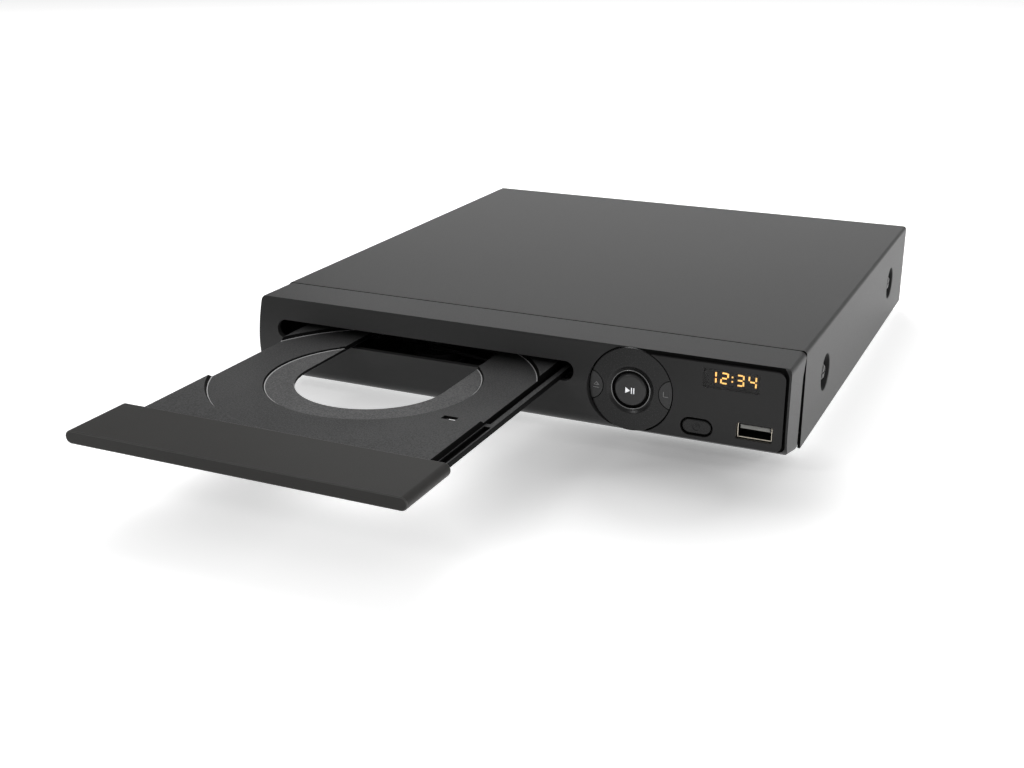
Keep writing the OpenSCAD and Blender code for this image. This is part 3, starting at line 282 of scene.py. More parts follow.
@dataclass(frozen=True)
class Finish:
    """A surface: its colour with cloudy variation, its grain and its gloss.

    The clouds and the grain are given in cells per metre. rough holds the least and the largest
    roughness, and grain its cells, its depth in metres and its strength.
    """

    name: str
    colour: Colour
    variation: float = 0.12
    cloud: float = 18.0
    rough: tuple[float, float] = (0.4, 0.5)
    grain: tuple[float, float, float] = (2600.0, 1.2e-5, 0.35)
    metallic: float = 0.0
    ior: float = 1.45
    stretch: Colour = (1.0, 1.0, 1.0)
    speckle: float = 0.0

    def build(self) -> bpy.types.Material:
        """Makes the material."""
        return self.shader().material

    def shader(self) -> Shader:
        """Builds the nodes of the finish.

        Returns:
            The shader that holds them.
        """
        s = Shader(self.name)
        clouds = s.noise(self.cloud, 4.0)
        cells, depth, strength = self.grain
        if self.speckle > 0:
            dots = s.spread(s.noise(cells * 0.8, 1.0), -0.5, 0.5)
            clouds = s.calc("MULTIPLY_ADD", dots, self.speckle, clouds)
        colour = s.blend(s.spread(clouds, 0.0, 1.0), shade(self.colour, 1.0 - self.variation),
                         shade(self.colour, 1.0 + self.variation))
        grain = s.noise(cells, 2.0, self.stretch)
        s.bump(grain, strength, depth)
        s.set(Base_Color=colour, Roughness=s.spread(grain, *self.rough),
              Metallic=self.metallic, IOR=self.ior)
        return s


@dataclass(frozen=True)
class BoardFinish(Finish):
    """Solder resist over copper tracks: a darker and a lighter green in a grid of lines."""

    track: Colour = (0.02, 0.12, 0.06)
    pitch: float = 520.0

    def shader(self) -> Shader:
        """Builds the nodes of the finish.

        Returns:
            The shader that holds them.
        """
        s = Shader(self.name)
        bricks = s.node("ShaderNodeTexBrick", {
            "Vector": s.coord, "Scale": self.pitch, "Mortar Size": 0.035, "Brick Width": 2.6,
            "Row Height": 0.5, "Color1": (*self.colour, 1.0),
            "Color2": (*shade(self.colour, 0.8), 1.0), "Mortar": (*self.track, 1.0),
        }, offset=0.37, squash=0.6, squash_frequency=3)
        s.bump(bricks.outputs["Fac"], 0.4, 0.00003)
        s.set(Base_Color=bricks.outputs["Color"], Roughness=s.spread(s.noise(300.0), *self.rough),
              IOR=self.ior, Coat_Weight=0.3)
        return s


@dataclass(frozen=True)
class GlowFinish(Finish):
    """Lit display segments, a little uneven."""

    # On the play mark this glow is painted light, as no lamp lights the mark
    strength: float = 1.6

    def shader(self) -> Shader:
        """Builds the nodes of the finish.

        Returns:
            The shader that holds them.
        """
        s = Shader(self.name)
        uneven = s.spread(s.noise(1400.0, 1.0), 0.0, 1.0)
        colour = s.blend(uneven, shade(self.colour, 0.8), self.colour)
        s.set(Base_Color=colour, Emission_Color=colour, Emission_Strength=self.strength,
              Roughness=0.5)
        return s


@dataclass(frozen=True)
class WindowFinish(Finish):
    """A dark panel, painted black behind but for a clear window over the display.

    border is how much wider the window is behind, clear the share of light that it lets
    through and lift how much lighter it is painted than the panel, standing in for the light
    that its clear share loses.
    """

    window_x: tuple[float, float] = (79.9, 101.1)
    window_z: tuple[float, float] = (27.3, 34.7)
    front_y: float = -22.4
    border: float = 1.6
    clear: float = 0.4
    lift: float = 1.9

    def shader(self) -> Shader:
        """Builds the nodes of the finish.

        Returns:
            The shader that holds them.
        """
        s = super().shader()
        parts = s.node("ShaderNodeSeparateXYZ", {0: s.coord})
        behind = s.calc("GREATER_THAN", parts.outputs["Y"], at(0.0, self.front_y + 0.4, 0.0).y)
        sides = []
        for axis, (low, high), lift in ((0, self.window_x, 0.0), (2, self.window_z, FOOT_H)):
            half = (high - low) / 2
            reach = s.spread(behind, half * MM, (half + self.border) * MM, 0.0, 1.0)
            sides.append(s.calc("COMPARE", parts.outputs[axis], ((low + high) / 2 + lift) * MM,
                                reach))
        inside = s.calc("MULTIPLY", *sides)
        amount = s.spread(behind, self.clear, 1.0, 0.0, 1.0)
        s.set(Alpha=s.spread(s.calc("MULTIPLY", inside, amount), 1.0, 0.0, 0.0, 1.0),
              Base_Color=s.blend(inside, self.colour, shade(self.colour, self.lift)),
              Roughness=s.spread(inside, *self.rough, 0.0, 1.0))
        return s


@dataclass(frozen=True)
class ClearFinish(Finish):
    """Tinted clear plastic or glass with a light haze."""

    def shader(self) -> Shader:
        """Builds the nodes of the finish.

        Returns:
            The shader that holds them.
        """
        s = Shader(self.name)
        clouds = s.spread(s.noise(self.cloud), 0.0, 1.0)
        s.set(Base_Color=s.blend(clouds, shade(self.colour, 0.94), self.colour),
              Roughness=s.spread(s.noise(self.grain[0]), *self.rough),
              Transmission_Weight=1.0, IOR=self.ior)
        return s


def coloured_plastic(name: str, colour: Colour, variation: float) -> Finish:
    """The glossy coloured plastic of the socket collars.

    Args:
        name: Name of the material.
        colour: Its colour.
        variation: How far the colour goes up and down.

    Returns:
        The finish.
    """
    return Finish(name, colour, variation, 200.0, rough=(0.35, 0.45), grain=(1800.0, 4e-6, 0.2))


class Look(Enum):
    """Every finish of the player."""

    # Metal case
    COVER = Finish("cover_paint", (0.027, 0.027, 0.0265), 0.05, 9.0, rough=(0.44, 0.52),
                   grain=(3400.0, 1e-5, 0.25), ior=1.44)
    # Painted shade: the insides of the side screws' seats are painted dark
    SEAT_SHADE = Finish("screw_seat_painted_shade", (0.01, 0.01, 0.01), 0.1, 60.0, rough=(0.5, 0.6),
                        grain=(3000.0, 8e-6, 0.2), ior=1.14)
    SHEET = Finish("zinc_sheet", (0.52, 0.53, 0.53), 0.08, 40.0, rough=(0.32, 0.44),
                   grain=(900.0, 6e-6, 0.3), metallic=1.0, stretch=(1.0, 12.0, 12.0))
    SCREW = Finish("black_screw", (0.035, 0.035, 0.035), 0.15, 300.0, rough=(0.24, 0.34),
                   grain=(2000.0, 4e-6, 0.3), metallic=1.0)
    RUBBER = Finish("soft_rubber", (0.014, 0.014, 0.014), 0.2, 90.0, rough=(0.62, 0.8),
                    grain=(1600.0, 2e-5, 0.5))

    # Front
    FRONT = Finish("front_plastic", (0.037, 0.037, 0.037), 0.06, 14.0, rough=(0.36, 0.44),
                   grain=(3000.0, 8e-6, 0.25), ior=1.27)
    # Painted shade: dark paint in the front's pocket and side gap, at the cover's front end and
    # inside the socket's mouth
    DEEP_SHADE = Finish("deep_painted_shade", (0.006, 0.006, 0.006), 0.15, 60.0, rough=(0.55, 0.65),
                    grain=(2000.0, 6e-6, 0.2), ior=1.12)
    RING = Finish("disc_plastic", (0.014, 0.014, 0.014), 0.05, 30.0, rough=(0.22, 0.29),
                  grain=(3000.0, 3e-6, 0.15), ior=1.34)
    BUTTON = Finish("button_plastic", (0.036, 0.036, 0.036), 0.05, 60.0, rough=(0.28, 0.36),
                    grain=(3200.0, 5e-6, 0.2), ior=1.38)
    KEY = Finish("power_key", (0.009, 0.009, 0.009), 0.05, 60.0, rough=(0.24, 0.32),
                 grain=(3200.0, 4e-6, 0.2), ior=1.34)
    TRIM = Finish("trim_metal", (0.16, 0.16, 0.16), 0.05, 200.0, rough=(0.2, 0.28),
                  grain=(2600.0, 3e-6, 0.2), metallic=1.0)
    # Inside its window the panel is painted lighter, standing in for the light that its clear
    # share loses
    PANEL = WindowFinish("smoked_panel", (0.016, 0.0158, 0.0158), 0.06, 20.0, rough=(0.22, 0.26),
                         grain=(900.0, 2e-7, 0.02), ior=1.31)
    # Painted glow: the play mark gives off light, though no lamp is behind it
    MARK_GLOW = GlowFinish("mark_painted_glow", (0.92, 0.93, 0.95), strength=0.62)
    INK = Finish("grey_print", (0.34, 0.34, 0.34), 0.1, 300.0, rough=(0.5, 0.6),
                 grain=(2000.0, 2e-6, 0.1), ior=1.1)

    # Behind the front
    AMBER = GlowFinish("amber_segments", (1.0, 0.56, 0.16), strength=3.6)
    SHELL = Finish("socket_shell", (0.92, 0.84, 0.7), 0.06, 200.0, rough=(0.24, 0.34),
                   grain=(1800.0, 3e-6, 0.2), metallic=0.35)
    TONGUE = Finish("socket_tongue", (0.36, 0.36, 0.34), 0.06, 120.0, rough=(0.35, 0.45),
                    grain=(1500.0, 4e-6, 0.2))
    # Painted shade: the contacts are dark as the shade inside the socket
    CONTACT = Finish("socket_contacts", (0.1, 0.075, 0.045), 0.1, 200.0, rough=(0.3, 0.4),
                     grain=(1800.0, 3e-6, 0.2), metallic=1.0)

    # Tray
    TRAY = Finish("tray_plastic", (0.052, 0.052, 0.0525), 0.24, 25.0, rough=(0.46, 0.58),
                  grain=(2300.0, 6e-5, 0.55), ior=1.27, speckle=1.1)
    DISH = Finish("dish_plastic", (0.096, 0.096, 0.0965), 0.24, 25.0, rough=(0.46, 0.58),
                  grain=(2300.0, 6e-5, 0.55), ior=1.27, speckle=1.1)
    # Painted highlight: the rounded edges at the foot of the tray's walls are light
    TRAY_EDGE_HIGHLIGHT = Finish("tray_edge_highlight", (0.42, 0.42, 0.42), 0.15, 60.0, rough=(0.34, 0.44),
                       grain=(2100.0, 1e-5, 0.3))
    # Painted shadow on the tray's walls, steps and rail channel
    TRAY_SHADOW = Finish("rail_shadow", (0.0035, 0.0035, 0.0035), 0.15, 60.0, rough=(0.5, 0.6),
                  grain=(2000.0, 8e-6, 0.3), ior=1.12)
    LIP = Finish("lip_plastic", (0.036, 0.035, 0.0334), 0.05, 16.0, rough=(0.4, 0.48),
                 grain=(3000.0, 8e-6, 0.25), ior=1.24)
    # Painted highlight: the lip's rounded edges are lighter than the lip
    LIP_EDGE_HIGHLIGHT = Finish("lip_edge_highlight", (0.06, 0.059, 0.057), 0.05, 60.0, rough=(0.34, 0.42),
                      grain=(3000.0, 6e-6, 0.2), ior=1.35)

    # Loader
    FRAME = Finish("loader_plastic", (0.06, 0.061, 0.063), 0.1, 40.0, rough=(0.45, 0.6),
                   grain=(1500.0, 1.4e-5, 0.4))
    DARK_GEAR = Finish("dark_gear_plastic", (0.05, 0.05, 0.051), 0.1, 120.0, rough=(0.45, 0.55),
                       grain=(1500.0, 6e-6, 0.3), ior=1.25)
    GEAR = Finish("gear_plastic", (0.7, 0.68, 0.61), 0.06, 120.0, rough=(0.38, 0.5),
                  grain=(1500.0, 6e-6, 0.3))
    LENS = ClearFinish("lens_glass", (0.45, 0.55, 0.75), rough=(0.02, 0.05))
    BRIGHT = Finish("bright_plate", (0.78, 0.77, 0.74), 0.06, 200.0, rough=(0.16, 0.28),
                    grain=(1800.0, 3e-6, 0.2), metallic=1.0)
    STEEL = Finish("turned_steel", (0.6, 0.6, 0.6), 0.08, 150.0, rough=(0.24, 0.38),
                   grain=(2400.0, 4e-6, 0.3), metallic=1.0)
    BLACK = Finish("black_moulding", (0.018, 0.018, 0.019), 0.12, 120.0, rough=(0.42, 0.56),
                   grain=(1800.0, 1e-5, 0.35))

    # Boards and rear sockets
    BOARD = BoardFinish("green_board", (0.018, 0.12, 0.05), rough=(0.25, 0.35))
    PAPER = Finish("paper_board", (0.46, 0.33, 0.17), 0.15, 120.0, rough=(0.5, 0.65),
                   grain=(1400.0, 1e-5, 0.3))
    FINS = Finish("fin_metal", (0.55, 0.56, 0.57), 0.08, 100.0, rough=(0.35, 0.5),
                  grain=(1000.0, 8e-6, 0.3), metallic=1.0, stretch=(14.0, 1.0, 1.0))
    TAPE = Finish("core_tape", (0.55, 0.4, 0.08), 0.12, 90.0, rough=(0.35, 0.5),
                  grain=(1100.0, 1e-5, 0.3))
    CABLE = Finish("cable_film", (0.62, 0.59, 0.5), 0.06, 60.0, rough=(0.35, 0.5),
                   grain=(1500.0, 2e-5, 0.5), stretch=(1.0, 0.05, 0.05))
    LEAD = Finish("red_lead", (0.32, 0.03, 0.02), 0.1, 90.0, rough=(0.4, 0.5),
                  grain=(1500.0, 5e-6, 0.3))
    GOLD = Finish("gold_flash", (0.72, 0.53, 0.22), 0.08, 200.0, rough=(0.2, 0.32),
                  grain=(2200.0, 3e-6, 0.2), metallic=1.0)
    YELLOW = coloured_plastic("yellow_insert", (0.62, 0.42, 0.02), 0.08)
    IVORY = coloured_plastic("white_insert", (0.66, 0.65, 0.6), 0.06)
    RED = coloured_plastic("red_insert", (0.42, 0.02, 0.02), 0.08)
    GREEN = coloured_plastic("green_insert", (0.03, 0.26, 0.06), 0.08)
    BLUE = coloured_plastic("blue_insert", (0.02, 0.1, 0.38), 0.08)


@cache
def material(look: Look) -> bpy.types.Material:
    """The material of a finish, made once."""
    return look.value.build()


# ---------------------------------------------------------------- shaping


def placed(name: str, data: bpy.types.ID) -> bpy.types.Object:
    """A new object in the scene around a mesh, a lamp or a camera."""
    made = bpy.data.objects.new(name, data)
    bpy.context.scene.collection.objects.link(made)
    return made


def shaped(name: str, bm: bmesh.types.BMesh) -> bpy.types.Object:
    """A new object in the scene from a bmesh, which is freed."""
    mesh = bpy.data.meshes.new(name)
    bm.to_mesh(mesh)
    bm.free()
    return placed(name, mesh)


@dataclass
class Workshop:
    """Turns CAD nodes into finished pieces and adds new ones."""

    frame: dict
    count: int = 0

    def node(self, name: str) -> bpy.types.Object:
        """The CAD node of that name."""
        return self.frame["nodes"][name]

    def body_of(self, name: str) -> str:
        """The body that a CAD node belongs to."""
        return self.node(name)["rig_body"]

    def paint(self, obj: bpy.types.Object, look: Look) -> None:
        """Gives a whole object one finish.

        Args:
            obj: The object.
            look: Its finish.
        """
        obj.data.materials.clear()
        obj.data.materials.append(material(look))

    def smooth(self, obj: bpy.types.Object) -> None:
        """Smooth shading between faces that meet at a small angle.

        Args:
            obj: The object.
        """
        obj.data.shade_smooth()
        obj.data.set_sharp_from_angle(angle=SMOOTH)
        level = obj.modifiers.new("level_faces", "WEIGHTED_NORMAL")
        level.keep_sharp = True
        level.weight = 80

    def plain(self, names: Iterable[str], look: Look) -> None:
        """Dresses CAD nodes as they are.

        Args:
            names: The nodes.
            look: Their finish.
        """
        for name in names:
            obj = self.node(name)
            self.paint(obj, look)
            obj.data.shade_smooth()
            obj.data.set_sharp_from_angle(angle=SMOOTH_CAD)
            LOG.info("%s: %s", name, look.name)

    def softened(self, name: str, look: Look, width: float = 0.25, segments: int = 2,
                 keep: Callable[[bmesh.types.BMEdge], bool] | None = None,
                 edge: Look | None = None,
                 zones: tuple[tuple[Look, Callable[[Vector, Vector], bool]], ...] = (),
                 shift: Callable[[Vector], float] | None = None) -> bpy.types.Object:
        """A copy of a CAD node with its corners rounded, shown in the node's place.

        Args:
            name: The node.
            look: Its finish.
            width: Width of the rounding in millimetres.
            segments: Steps across the rounding.
            keep: Tells which corners are rounded, all if left out.
            edge: Finish of the rounded corners, that of the node if left out.
            zones: Further finishes, each with a test of a face's middle, in the case's own
                millimetres, and its normal.
            shift: How far back each corner point is moved, for a fit that opens.

        Returns:
            The new object.
        """
        source = self.node(name)
        mesh = source.data.copy()
        made = placed(f"{name}_finished", mesh)
        bm = bmesh.new()
        bm.from_mesh(mesh)
        bmesh.ops.remove_doubles(bm, verts=bm.verts, dist=WELD_CAD)
        bmesh.ops.dissolve_limit(bm, angle_limit=FLAT, verts=bm.verts, edges=bm.edges,
                                 use_dissolve_boundaries=False)
        for face in bm.faces:
            face.material_index = 0
        if shift is not None:
            for vert in bm.verts:
                vert.co.y += shift(in_case(vert.co)) * MM
        if width > 0:
            edges = [e for e in bm.edges if e.is_manifold
                     and e.calc_face_angle(0.0) > CORNER and (keep is None or keep(e))]
            rounded = bmesh.ops.bevel(bm, geom=edges, offset=width * MM, offset_type="OFFSET",
                                      segments=segments, profile=0.5, affect="EDGES",
                                      material=-1, clamp_overlap=True, loop_slide=True)
            if edge is not None:
                for face in rounded["faces"]:
                    face.material_index = 1
        looks = [look] + ([edge] if edge is not None else [])
        for zone, inside in zones:
            looks.append(zone)
            for face in bm.faces:
                if inside(in_case(face.calc_center_median()), face.normal):
                    face.material_index = len(looks) - 1
        self.paint(made, look)
        for other in looks[1:]:
            mesh.materials.append(material(other))
        bm.to_mesh(mesh)
        bm.free()
        self.smooth(made)
        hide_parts(name)
        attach(made, self.body_of(name))
        self.count += 1
        LOG.info("%s: softened by %.2f mm", name, width)
        return made

    def piece(self, name: str, bm: bmesh.types.BMesh, look: Look, body: str,
              smooth: bool = True) -> bpy.types.Object:
        """Turns a bmesh into a piece of the player.

        Args:
            name: Name of the piece.
            bm: Its mesh in the part's frame, in metres; freed here.
            look: Its finish.
            body: The body that it moves with.
            smooth: Whether it is shaded smooth.

        Returns:
            The object.
        """
        bmesh.ops.remove_doubles(bm, verts=bm.verts, dist=WELD)
        bmesh.ops.recalc_face_normals(bm, faces=bm.faces)
        made = shaped(name, bm)
        self.paint(made, look)
        if smooth:
            self.smooth(made)
        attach(made, body)
        self.count += 1
        LOG.info("%s: new piece", name)
        return made


def plate(bm: bmesh.types.BMesh, outline: list[tuple[float, float]], y_front: float,
          thick: float) -> None:
    """Adds a flat plate that faces the front, drawn by its outline in X and Z.

    Args:
        bm: Mesh to add to.
        outline: Corner points in millimetres.
        y_front: Its front surface.
        thick: Its thickness.
    """
    face = bm.faces.new([bm.verts.new(at(x, y_front, z)) for x, z in outline])
    grown = bmesh.ops.extrude_face_region(bm, geom=[face])
    moved = [v for v in grown["geom"] if isinstance(v, bmesh.types.BMVert)]
    bmesh.ops.translate(bm, verts=moved, vec=Vector((0.0, thick * MM, 0.0)))


def slab(bm: bmesh.types.BMesh, low: tuple[float, float], high: tuple[float, float],
         y_front: float, thick: float) -> None:
    """Adds a rectangular plate that faces the front.

    Args:
        bm: Mesh to add to.
        low: X and Z of its lower left corner in millimetres.
        high: X and Z of its upper right corner.
        y_front: Its front surface.
        thick: Its thickness.
    """
    plate(bm, [low, (high[0], low[1]), high, (low[0], high[1])], y_front, thick)


def ring(bm: bmesh.types.BMesh, profile: list[tuple[float, float]], centre: Vector,
         axis: Vector) -> None:
    """Spins a closed outline into a ring.

    Args:
        bm: Mesh to add to.
        profile: Points as radius and height along the axis, in millimetres.
        centre: The ring's centre in metres.
        axis: Its axis.
    """
    turn = Vector((0, 0, 1)).rotation_difference(axis).to_matrix().to_4x4()
    place = Matrix.Translation(centre) @ turn
    verts = [bm.verts.new(place @ (Vector((r, 0.0, h)) * MM)) for r, h in profile]
    edges = [bm.edges.new((verts[i], verts[(i + 1) % len(verts)])) for i in range(len(verts))]
    bmesh.ops.spin(bm, geom=verts + edges, cent=centre, axis=axis, angle=math.tau,
                   steps=64, use_merge=True, use_normal_flip=False, use_duplicate=False)


# ---------------------------------------------------------------- sub-assemblies


@dataclass
class MetalCase:
    """The folded steel cover, the pan under it, its screws and its feet."""

    corner: float = 0.3
    half_w: float = 112.5
    seat_deep: float = 2.2
    seat_top: float = 28.0
    seam_depth: float = 0.6
    seam_top: float = 32.0

    def in_seat(self, middle: Vector, normal: Vector) -> bool:
        """Whether a face of the cover lies in one of the dished seats of the side screws, painted
        dark as shade.

        Args:
            middle: Middle of the face in the case's millimetres.
            normal: Its normal.

        Returns:
            True for a face below the side's surface, seen from outside.
        """
        depth = self.half_w - abs(middle.x)
        outward = normal.x * (1.0 if middle.x > 0 else -1.0)
        return (0.2 < depth < self.seat_deep + 0.1 and outward > 0.1
                and middle.z < self.seat_top)

    def front_end(self, middle: Vector, normal: Vector) -> bool:
        """Whether a face is the cover's cut front end, painted dark as the moulding's shade.

        Args:
            middle: Middle of the face in the case's millimetres.
            normal: Its normal.

        Returns:
            True for the end itself and, at the sides, for its rounded edge.
        """
        end = normal.y < -FACING and middle.y < self.seam_depth
        rounded = normal.y < -0.2 and middle.y < self.corner + NEAR
        return end or (rounded and middle.z < self.seam_top)

    def dress(self, shop: Workshop) -> None:
        """Finishes the case.

        Args:
            shop: Where the pieces are made.
        """
        # The screw seats and the cover's front end are painted dark as shade
        shop.softened("top_cover", Look.COVER, self.corner, 2,
                      zones=((Look.SEAT_SHADE, self.in_seat), (Look.DEEP_SHADE, self.front_end)))
        shop.softened("chassis", Look.SHEET, 0.12, 1)
        shop.softened("rubber_feet", Look.RUBBER, 0.3, 2)
        shop.softened("cover_screws", Look.SCREW, 0.08, 1)
        shop.softened("rear_screws", Look.SCREW, 0.08, 1)


@dataclass
class FrontMoulding:
    """The front with its control disc, display panel and buttons.

    In the case's millimetres, pocket_* bound the recess that the panel lies in, tongue_* and
    seam_top the tongue that reaches into the cover, wall_* and slant_* the back edges of the
    side walls. wedge is how far forward those edges are moved.
    """

    disc_x: float = 52.2
    disc_z: float = 21.7
    play_face: float = -22.58
    play_thick: float = 0.1
    play_half: float = 1.22
    pause_half: float = 1.2
    icon_face: float = -21.82
    icon_thick: float = 0.03
    icon_off: float = 13.8
    key: tuple[float, float, float] = (78.4, -22.1, 11.2)
    icon_r: float = 2.5
    pocket_y: float = -20.6
    pocket_front: float = -22.2
    pocket_x: tuple[float, float] = (34.0, 111.0)
    pocket_z: tuple[float, float] = (5.0, 37.9)
    tongue_half: float = 110.3
    tongue_in: float = 107.0
    tongue_y: float = -4.4
    seam_top: float = 35.5
    wall_x: float = 111.6
    wall_y: float = -5.0
    wall_top: float = 30.0
    slant_y: tuple[float, float] = (-4.2, -1.9)
    slant_top: float = 31.0
    wedge: float = 2.1

    def in_groove(self, middle: Vector, normal: Vector) -> bool:
        """Whether a face of the front is the floor of the pocket or inside the side gap, both
        painted dark as shade.

        Args:
            middle: Middle of the face in the case's millimetres.
            normal: Its normal.

        Returns:
            True for a face that lies in a groove.
        """
        side = abs(middle.x)
        left, right = self.pocket_x
        low, high = self.pocket_z
        floor = normal.y < -FACING and abs(middle.y - self.pocket_y) < NEAR and middle.x > left
        wall = (middle.x > right and normal.x < -FACING and abs(normal.y) < 0.2
                and self.pocket_front < middle.y < self.pocket_y and low < middle.z < high)
        outer = self.tongue_half + 0.3
        gap = (self.tongue_in < side < outer and middle.y > self.tongue_y
               and middle.z < self.seam_top)
        tongue = abs(normal.x) > FACING and self.tongue_half - 0.2 < side < outer
        back = (side > self.wall_x and middle.y > self.wall_y and normal.y > 0.3
                and middle.z < self.wall_top)
        return floor or wall or gap or tongue or back

    def opening(self, point: Vector) -> float:
        """How far the slanted back edge of the side walls is moved at a corner point.

        Args:
            point: The corner point in the case's millimetres.

        Returns:
            The shift to the back, negative so that the seam opens downward.
        """
        front, back = self.slant_y
        edge = abs(point.x) > self.tongue_half - 0.1 and front < point.y < back
        return -self.wedge if edge and point.z < self.slant_top else 0.0

    def dress(self, shop: Workshop) -> None:
        """Finishes the front.

        Args:
            shop: Where the pieces are made.
        """
        # The pocket's floor, the side gap, the tongue and the walls' backs are painted dark as
        # shade
        shop.softened("front_fascia", Look.FRONT, 0.3, 3,
                      zones=((Look.DEEP_SHADE, self.in_groove),), shift=self.opening)
        shop.softened("display_panel", Look.PANEL, 0.25, 3)
        shop.softened("control_ring", Look.RING, 0.2, 3)
        shop.softened("play_trim_ring", Look.TRIM, 0.12, 3)
        shop.softened("play_button", Look.BUTTON, 0.1, 2)
        for name in ("eject_button", "stop_button"):
            shop.softened(name, Look.BUTTON, 0.22, 3)
        key, icon_r = at(*self.key), self.icon_r * MM
        shop.softened("power_button", Look.KEY, 0.6, 5,
                      keep=lambda e: all(v.co.y < key.y and (v.co - key).length > icon_r
                                         for v in e.verts))
        self.play_mark(shop)
        self.side_marks(shop)

    def play_mark(self, shop: Workshop) -> None:
        """The white play and pause mark in the middle button.

        Args:
            shop: Where the pieces are made.
        """
        bm = bmesh.new()
        x, z, tall = self.disc_x, self.disc_z - 0.15, self.play_half
        y, thick = self.play_face, self.play_thick
        plate(bm, [(x - 1.85, z - tall), (x - 1.85, z + tall), (x + 0.1, z)], y, thick)
        tall = self.pause_half
        for left in (0.38, 1.28):
            slab(bm, (x + left, z - tall), (x + left + 0.44, z + tall), y, thick)
        # The mark takes a painted glow, as no lamp lights it
        shop.piece("play_mark", bm, Look.MARK_GLOW, "play", smooth=False)

    def side_marks(self, shop: Workshop) -> None:
        """The grey eject and stop marks printed in the recesses of the side buttons.

        Args:
            shop: Where the pieces are made.
        """
        z, y, thick = self.disc_z, self.icon_face, self.icon_thick
        bm = bmesh.new()
        x = self.disc_x - self.icon_off
        for side in (-1, 1):
            plate(bm, [(x + side * 1.4, z - 0.2), (x + side * 0.9, z - 0.2), (x, z + 0.95),
                       (x, z + 1.4)][::-side], y, thick)
        plate(bm, [(x - 0.85, z - 0.2), (x + 0.85, z - 0.2), (x + 0.65, z + 0.1),
                   (x - 0.65, z + 0.1)], y, thick)
        slab(bm, (x - 1.3, z - 1.2), (x + 1.3, z - 0.9), y, thick)
        shop.piece("eject_mark", bm, Look.INK, "eject", smooth=False)
        bm = bmesh.new()
        x = self.disc_x + self.icon_off
        slab(bm, (x - 1.1, z - 1.1), (x - 0.8, z + 1.1), y, thick)
        slab(bm, (x - 0.7, z - 1.1), (x + 1.1, z - 0.8), y, thick)
        shop.piece("stop_mark", bm, Look.INK, "stop", smooth=False)


@dataclass
class FrontElectronics:
    """Front board, switches, display and socket.

    usb is the middle of the socket's mouth. From there mouth_half, lit_half and lit_low bound
    the edges of the shell that catch the light; the rest of the shell is painted dark as shade.
    """

    usb: tuple[float, float, float] = (100.0, -20.9, 12.3)
    mouth_half: float = 5.6
    lit_half: float = 5.0
    lit_low: float = 1.0
    digit_x: tuple[float, ...] = (81.5, 86.0, 91.8, 96.4)
    digit_z: float = 28.8
    digit_w: float = 3.1
    digit_h: float = 4.4
    digit_y: float = -20.6
    bar: float = 0.55
    gap: float = 0.14
    thick: float = 0.14
    colon_back: float = 1.6
    colon_z: tuple[float, float] = (1.1, 2.8)
    shown: str = "1234"

    def in_socket(self, middle: Vector, normal: Vector) -> bool:
        """Whether a face of the shell lies inside its mouth, to be painted dark as shade.

        Args:
            middle: Middle of the face in the case's millimetres.
            normal: Its normal.

        Returns:
            True for all but the mouth's left and lower edges; the corner between them is painted
            dark as shade too.
        """
        x, y, z = self.usb
        corner = middle.x < x - self.lit_half and middle.z < z - self.lit_low
        return middle.x > x + self.mouth_half or middle.y > y + 0.2 or corner

    def bars(self, letter: str) -> list[tuple[float, float, float, float]]:
        """The lit bars of one figure.

        Args:
            letter: The figure.

        Returns:
            Left, bottom, right and top of each bar from the figure's lower left corner.
        """
        t, g, w, h = self.bar, self.gap, self.digit_w, self.digit_h
        mid = (h - t) / 2
        places = [(t + g, h - t, w - t - g, h), (w - t, mid + t + g, w, h - t * 0.4),
                  (w - t, t * 0.4, w, mid - g), (t + g, 0.0, w - t - g, t),
                  (0.0, t * 0.4, t, mid - g), (0.0, mid + t + g, t, h - t * 0.4),
                  (t + g, mid, w - t - g, mid + t)]
        lit = {"1": "12", "2": "01346", "3": "01236", "4": "1256"}[letter]
        return [places[int(i)] for i in lit]

    def digits(self, shop: Workshop) -> None:
        """The lit bars of the display, each with a small gap to the next.

        Args:
            shop: Where the pieces are made.
        """
        bm = bmesh.new()
        for left, letter in zip(self.digit_x, self.shown):
            for x0, z0, x1, z1 in self.bars(letter):
                slab(bm, (left + x0, self.digit_z + z0), (left + x1, self.digit_z + z1),
                     self.digit_y, self.thick)
        x = self.digit_x[2] - self.colon_back
        for z in (self.digit_z + up for up in self.colon_z):
            slab(bm, (x, z), (x + self.bar, z + self.bar), self.digit_y, self.thick)
        made = shop.piece("lit_digits", bm, Look.AMBER, shop.body_of("display_digits"),
                          smooth=False)
        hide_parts("display_digits")

    def dress(self, shop: Workshop) -> None:
        """Finishes what stands behind the front.

        Args:
            shop: Where the pieces are made.
        """
        shop.plain(["front_board"], Look.BOARD)
        shop.plain(["tact_switches", "ir_receiver", "display_module"], Look.BLACK)
        shop.plain(["usb_tongue"], Look.TONGUE)
        shop.plain(["front_board_screws"], Look.STEEL)
        self.digits(shop)
        # Inside its mouth the shell is painted dark as shade
        shop.softened("usb_shell", Look.SHELL, 0.05, 1,
                      zones=((Look.DEEP_SHADE, self.in_socket),))
        # The contacts are painted dark as the shade inside the socket
        shop.plain(["usb_contacts"], Look.CONTACT)


